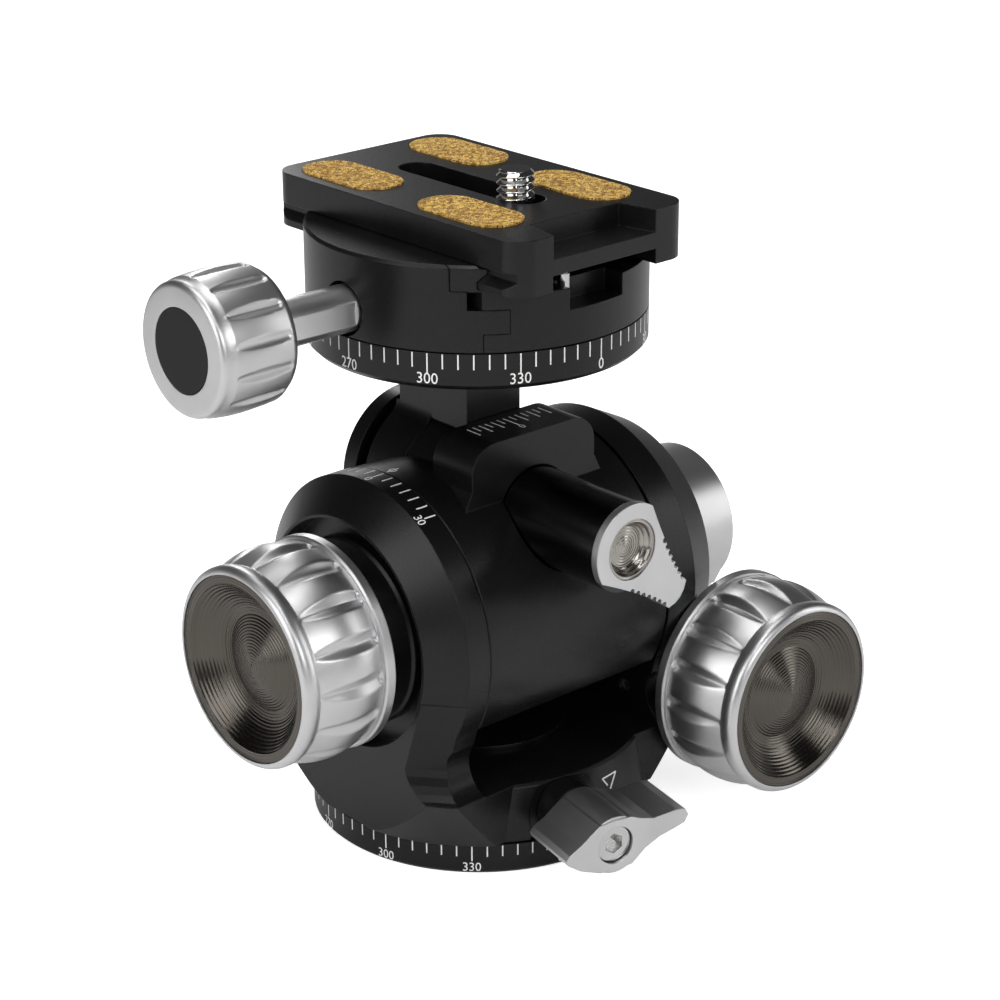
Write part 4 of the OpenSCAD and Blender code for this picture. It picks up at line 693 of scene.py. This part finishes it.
def slotOutline(look, half):
    # Half circles of radius half round the ends of the slot's middle line, and straight sides
    bend = np.linspace(0, np.pi, look["slotSteps"])
    near, far = look["slotY"][0] + look["slotHalf"], look["slotY"][1] - look["slotHalf"]
    upper = np.column_stack([half * np.cos(bend), far + half * np.sin(bend)])
    lower = np.column_stack([-half * np.cos(bend), near - half * np.sin(bend)])
    return np.concatenate([upper, lower])


def channelOutline(look):
    x0, x1 = look["channelX"]
    reach = look["length"] / 2 + look["over"]
    return np.array([(x0, -reach), (x1, -reach), (x1, reach), (x0, reach)])


def carvedPlate(look):
    top, bottom = look["top"], look["bottom"]
    holder = meshObject("plateBase", [], [])
    work = bmesh.new()
    work.from_mesh(nodes["quick_plate"].data)
    bmesh.ops.remove_doubles(work, verts=work.verts, dist=look["merge"] * mm)
    bmesh.ops.dissolve_limit(work, angle_limit=math.radians(look["flat"]),
                             verts=work.verts, edges=work.edges)
    work.to_mesh(holder.data)
    work.free()
    tools = [
        ("UNION", prism(slotOutline(look, look["fillHalf"]), top - look["fillDepth"], top)),
        ("DIFFERENCE", prism(slotOutline(look, look["slotHalf"]),
                             bottom - look["over"], top + look["over"])),
        ("DIFFERENCE", prism(channelOutline(look),
                             bottom - look["over"], bottom + look["channel"]))]
    helpers = [holder]
    for operation, tool in tools:
        helpers.append(meshObject("plateTool", *tool))
        cut = holder.modifiers.new(operation, "BOOLEAN")
        cut.object, cut.operation, cut.solver = helpers[-1], operation, "MANIFOLD"
    graph = bpy.context.evaluated_depsgraph_get()
    shape = bpy.data.meshes.new_from_object(holder.evaluated_get(graph))
    place, faces = meshPlaces(shape) / mm, [list(p.vertices) for p in shape.polygons]
    for helper in helpers:
        mesh = helper.data
        bpy.data.objects.remove(helper)
        bpy.data.meshes.remove(mesh)
    bpy.data.meshes.remove(shape)
    return place, faces


plate = newPiece("quickPlateCarved", *carvedPlate(plateLook), "blackAnodised", "plate",
                 "black_anodised", crease=plateLook["crease"])
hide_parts("quick_plate")

clipLook = dict(x=0, y=-9.7, low=112.5, high=113.3, inner=2.55, outer=3.2, around=64)
place, faces = plainRing(clipLook, clipLook["low"], clipLook["high"])
clip = newPiece("screwClipRound", place + [clipLook["x"], clipLook["y"], 0], faces, "darkSteel",
                "screw_carriage", "dark_steel")
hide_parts("screw_clip")
print("plate carved:", len(plate.data.polygons), "faces")


# Floor, light and camera

# Lamps are soft boxes, and two narrow strips that draw the edges: place and size in metres, power
# in watts. worldBand is the height, as a part of 1, over which the world dims from low to top.
studio = {
    "floor": "#f4f4f4", "floorSize": 4.0, "floorGlow": 0.75, "floorGloss": 0.06,
    "worldDiffuse": 0.22, "worldGlossLow": 0.30, "worldGlossTop": 0.035, "worldBand": (0.02, 0.30),
    "lampTarget": (0, 0, 0.06),
    "lamps": {
        "leftSoft": dict(place=(-0.70, -0.02, 0.40), size=(0.50, 0.60), power=2.6),
        "frontSoft": dict(place=(-0.12, -0.80, 0.46), size=(0.55, 0.35), power=2.2),
        "rightSoft": dict(place=(0.62, -0.50, 0.26), size=(0.25, 0.55), power=1.2),
        "topSoft": dict(place=(-0.05, 0.10, 0.70), size=(0.50, 0.45), power=1.6),
        "topStrip": dict(place=(-0.25, -0.30, 0.75), size=(0.06, 0.60), power=0.9),
        "backStrip": dict(place=(0.35, 0.60, 0.45), size=(0.08, 0.60), power=0.9)}}


def makeFloor(look):
    # Pale and matt, with a glow that only the camera and, faintly, reflections see
    size = look["floorSize"] / mm
    floor = meshObject("floor", [(-size, -size, 0), (size, -size, 0), (size, size, 0),
                                 (-size, size, 0)], [(0, 1, 2, 3)])
    material = bpy.data.materials.new("paleFloor")
    material.use_nodes = True
    tree = material.node_tree
    tree.nodes.clear()
    paths = addNode(tree, "ShaderNodeLightPath")
    gloss = addNode(tree, "ShaderNodeMath", {"operation": "MULTIPLY"}, {
        0: paths.outputs["Is Glossy Ray"], 1: look["floorGloss"]})
    matt = addNode(tree, "ShaderNodeBsdfDiffuse", {}, {"Color": hexToLinear(look["floor"])})
    strength = addNode(tree, "ShaderNodeMix", {"data_type": "FLOAT"}, {
        0: paths.outputs["Is Camera Ray"], 2: gloss.outputs[0], 3: look["floorGlow"]})
    glow = addNode(tree, "ShaderNodeEmission", {}, {
        "Color": (1, 1, 1, 1), "Strength": strength.outputs[0]})
    both = addNode(tree, "ShaderNodeAddShader", {}, {0: matt.outputs[0], 1: glow.outputs[0]})
    addNode(tree, "ShaderNodeOutputMaterial", {}, {"Surface": both.outputs[0]})
    floor.data.materials.append(material)


def makeWorld(look):
    # White where the camera looks; metal sees pale walls low down and a dim ceiling above
    world = bpy.data.worlds.new("studio")
    bpy.context.scene.world = world
    world.use_nodes = True
    tree = world.node_tree
    tree.nodes.clear()
    paths = addNode(tree, "ShaderNodeLightPath")
    coords = addNode(tree, "ShaderNodeTexCoord")
    split = addNode(tree, "ShaderNodeSeparateXYZ", {}, {0: coords.outputs["Generated"]})
    ceiling = addNode(tree, "ShaderNodeMapRange", {"interpolation_type": "SMOOTHSTEP"}, {
        "Value": split.outputs["Z"],
        "From Min": look["worldBand"][0], "From Max": look["worldBand"][1],
        "To Min": look["worldGlossLow"], "To Max": look["worldGlossTop"]})
    glossy = addNode(tree, "ShaderNodeMix", {"data_type": "FLOAT"}, {
        0: paths.outputs["Is Glossy Ray"], 2: look["worldDiffuse"], 3: ceiling.outputs[0]})
    strength = addNode(tree, "ShaderNodeMath", {"operation": "MAXIMUM"}, {
        0: glossy.outputs[0], 1: paths.outputs["Is Camera Ray"]})
    back = addNode(tree, "ShaderNodeBackground", {}, {
        "Color": (1, 1, 1, 1), "Strength": strength.outputs[0]})
    addNode(tree, "ShaderNodeOutputWorld", {}, {"Surface": back.outputs[0]})


def makeLamps(look):
    target = Vector(look["lampTarget"])
    for name, lamp in look["lamps"].items():
        data = bpy.data.lights.new(name, "AREA")
        data.shape, data.size, data.size_y = "RECTANGLE", *lamp["size"]
        data.energy = lamp["power"]
        holder = bpy.data.objects.new(name, data)
        holder.location = lamp["place"]
        aim = target - Vector(lamp["place"])
        holder.rotation_euler = aim.to_track_quat("-Z", "Y").to_euler()
        bpy.context.scene.collection.objects.link(holder)


# The photograph's camera: angles in degrees, place, lens and sensor in millimetres, square frame
cameraLook = {"azimuth": -41.636, "elevation": 21.806, "roll": -0.254,
              "place": (-289.82, -331.55, 233.18), "lens": 98.12, "sensor": 36,
              "clip": (0.01, 20)}


def makeCamera(look):
    azimuth, elevation, roll = [math.radians(look[k]) for k in ("azimuth", "elevation", "roll")]
    right = Vector((math.cos(azimuth), math.sin(azimuth), 0))
    back = Vector((math.sin(azimuth) * math.cos(elevation),
                   -math.cos(azimuth) * math.cos(elevation), math.sin(elevation)))
    up = back.cross(right)
    xAxis = right * math.cos(roll) + up * math.sin(roll)
    yAxis = up * math.cos(roll) - right * math.sin(roll)
    data = bpy.data.cameras.new("photoCamera")
    data.lens, data.sensor_width, data.sensor_fit = look["lens"], look["sensor"], "HORIZONTAL"
    data.clip_start, data.clip_end = look["clip"]
    camera = bpy.data.objects.new("photoCamera", data)
    bpy.context.scene.collection.objects.link(camera)
    turn = Matrix((xAxis, yAxis, back)).transposed().to_4x4()
    camera.matrix_world = Matrix.Translation(Vector(look["place"]) * mm) @ turn
    bpy.context.scene.camera = camera


makeFloor(studio)
makeWorld(studio)
makeLamps(studio)
makeCamera(cameraLook)
bpy.context.scene.view_settings.view_transform = "Standard"
print("studio made")
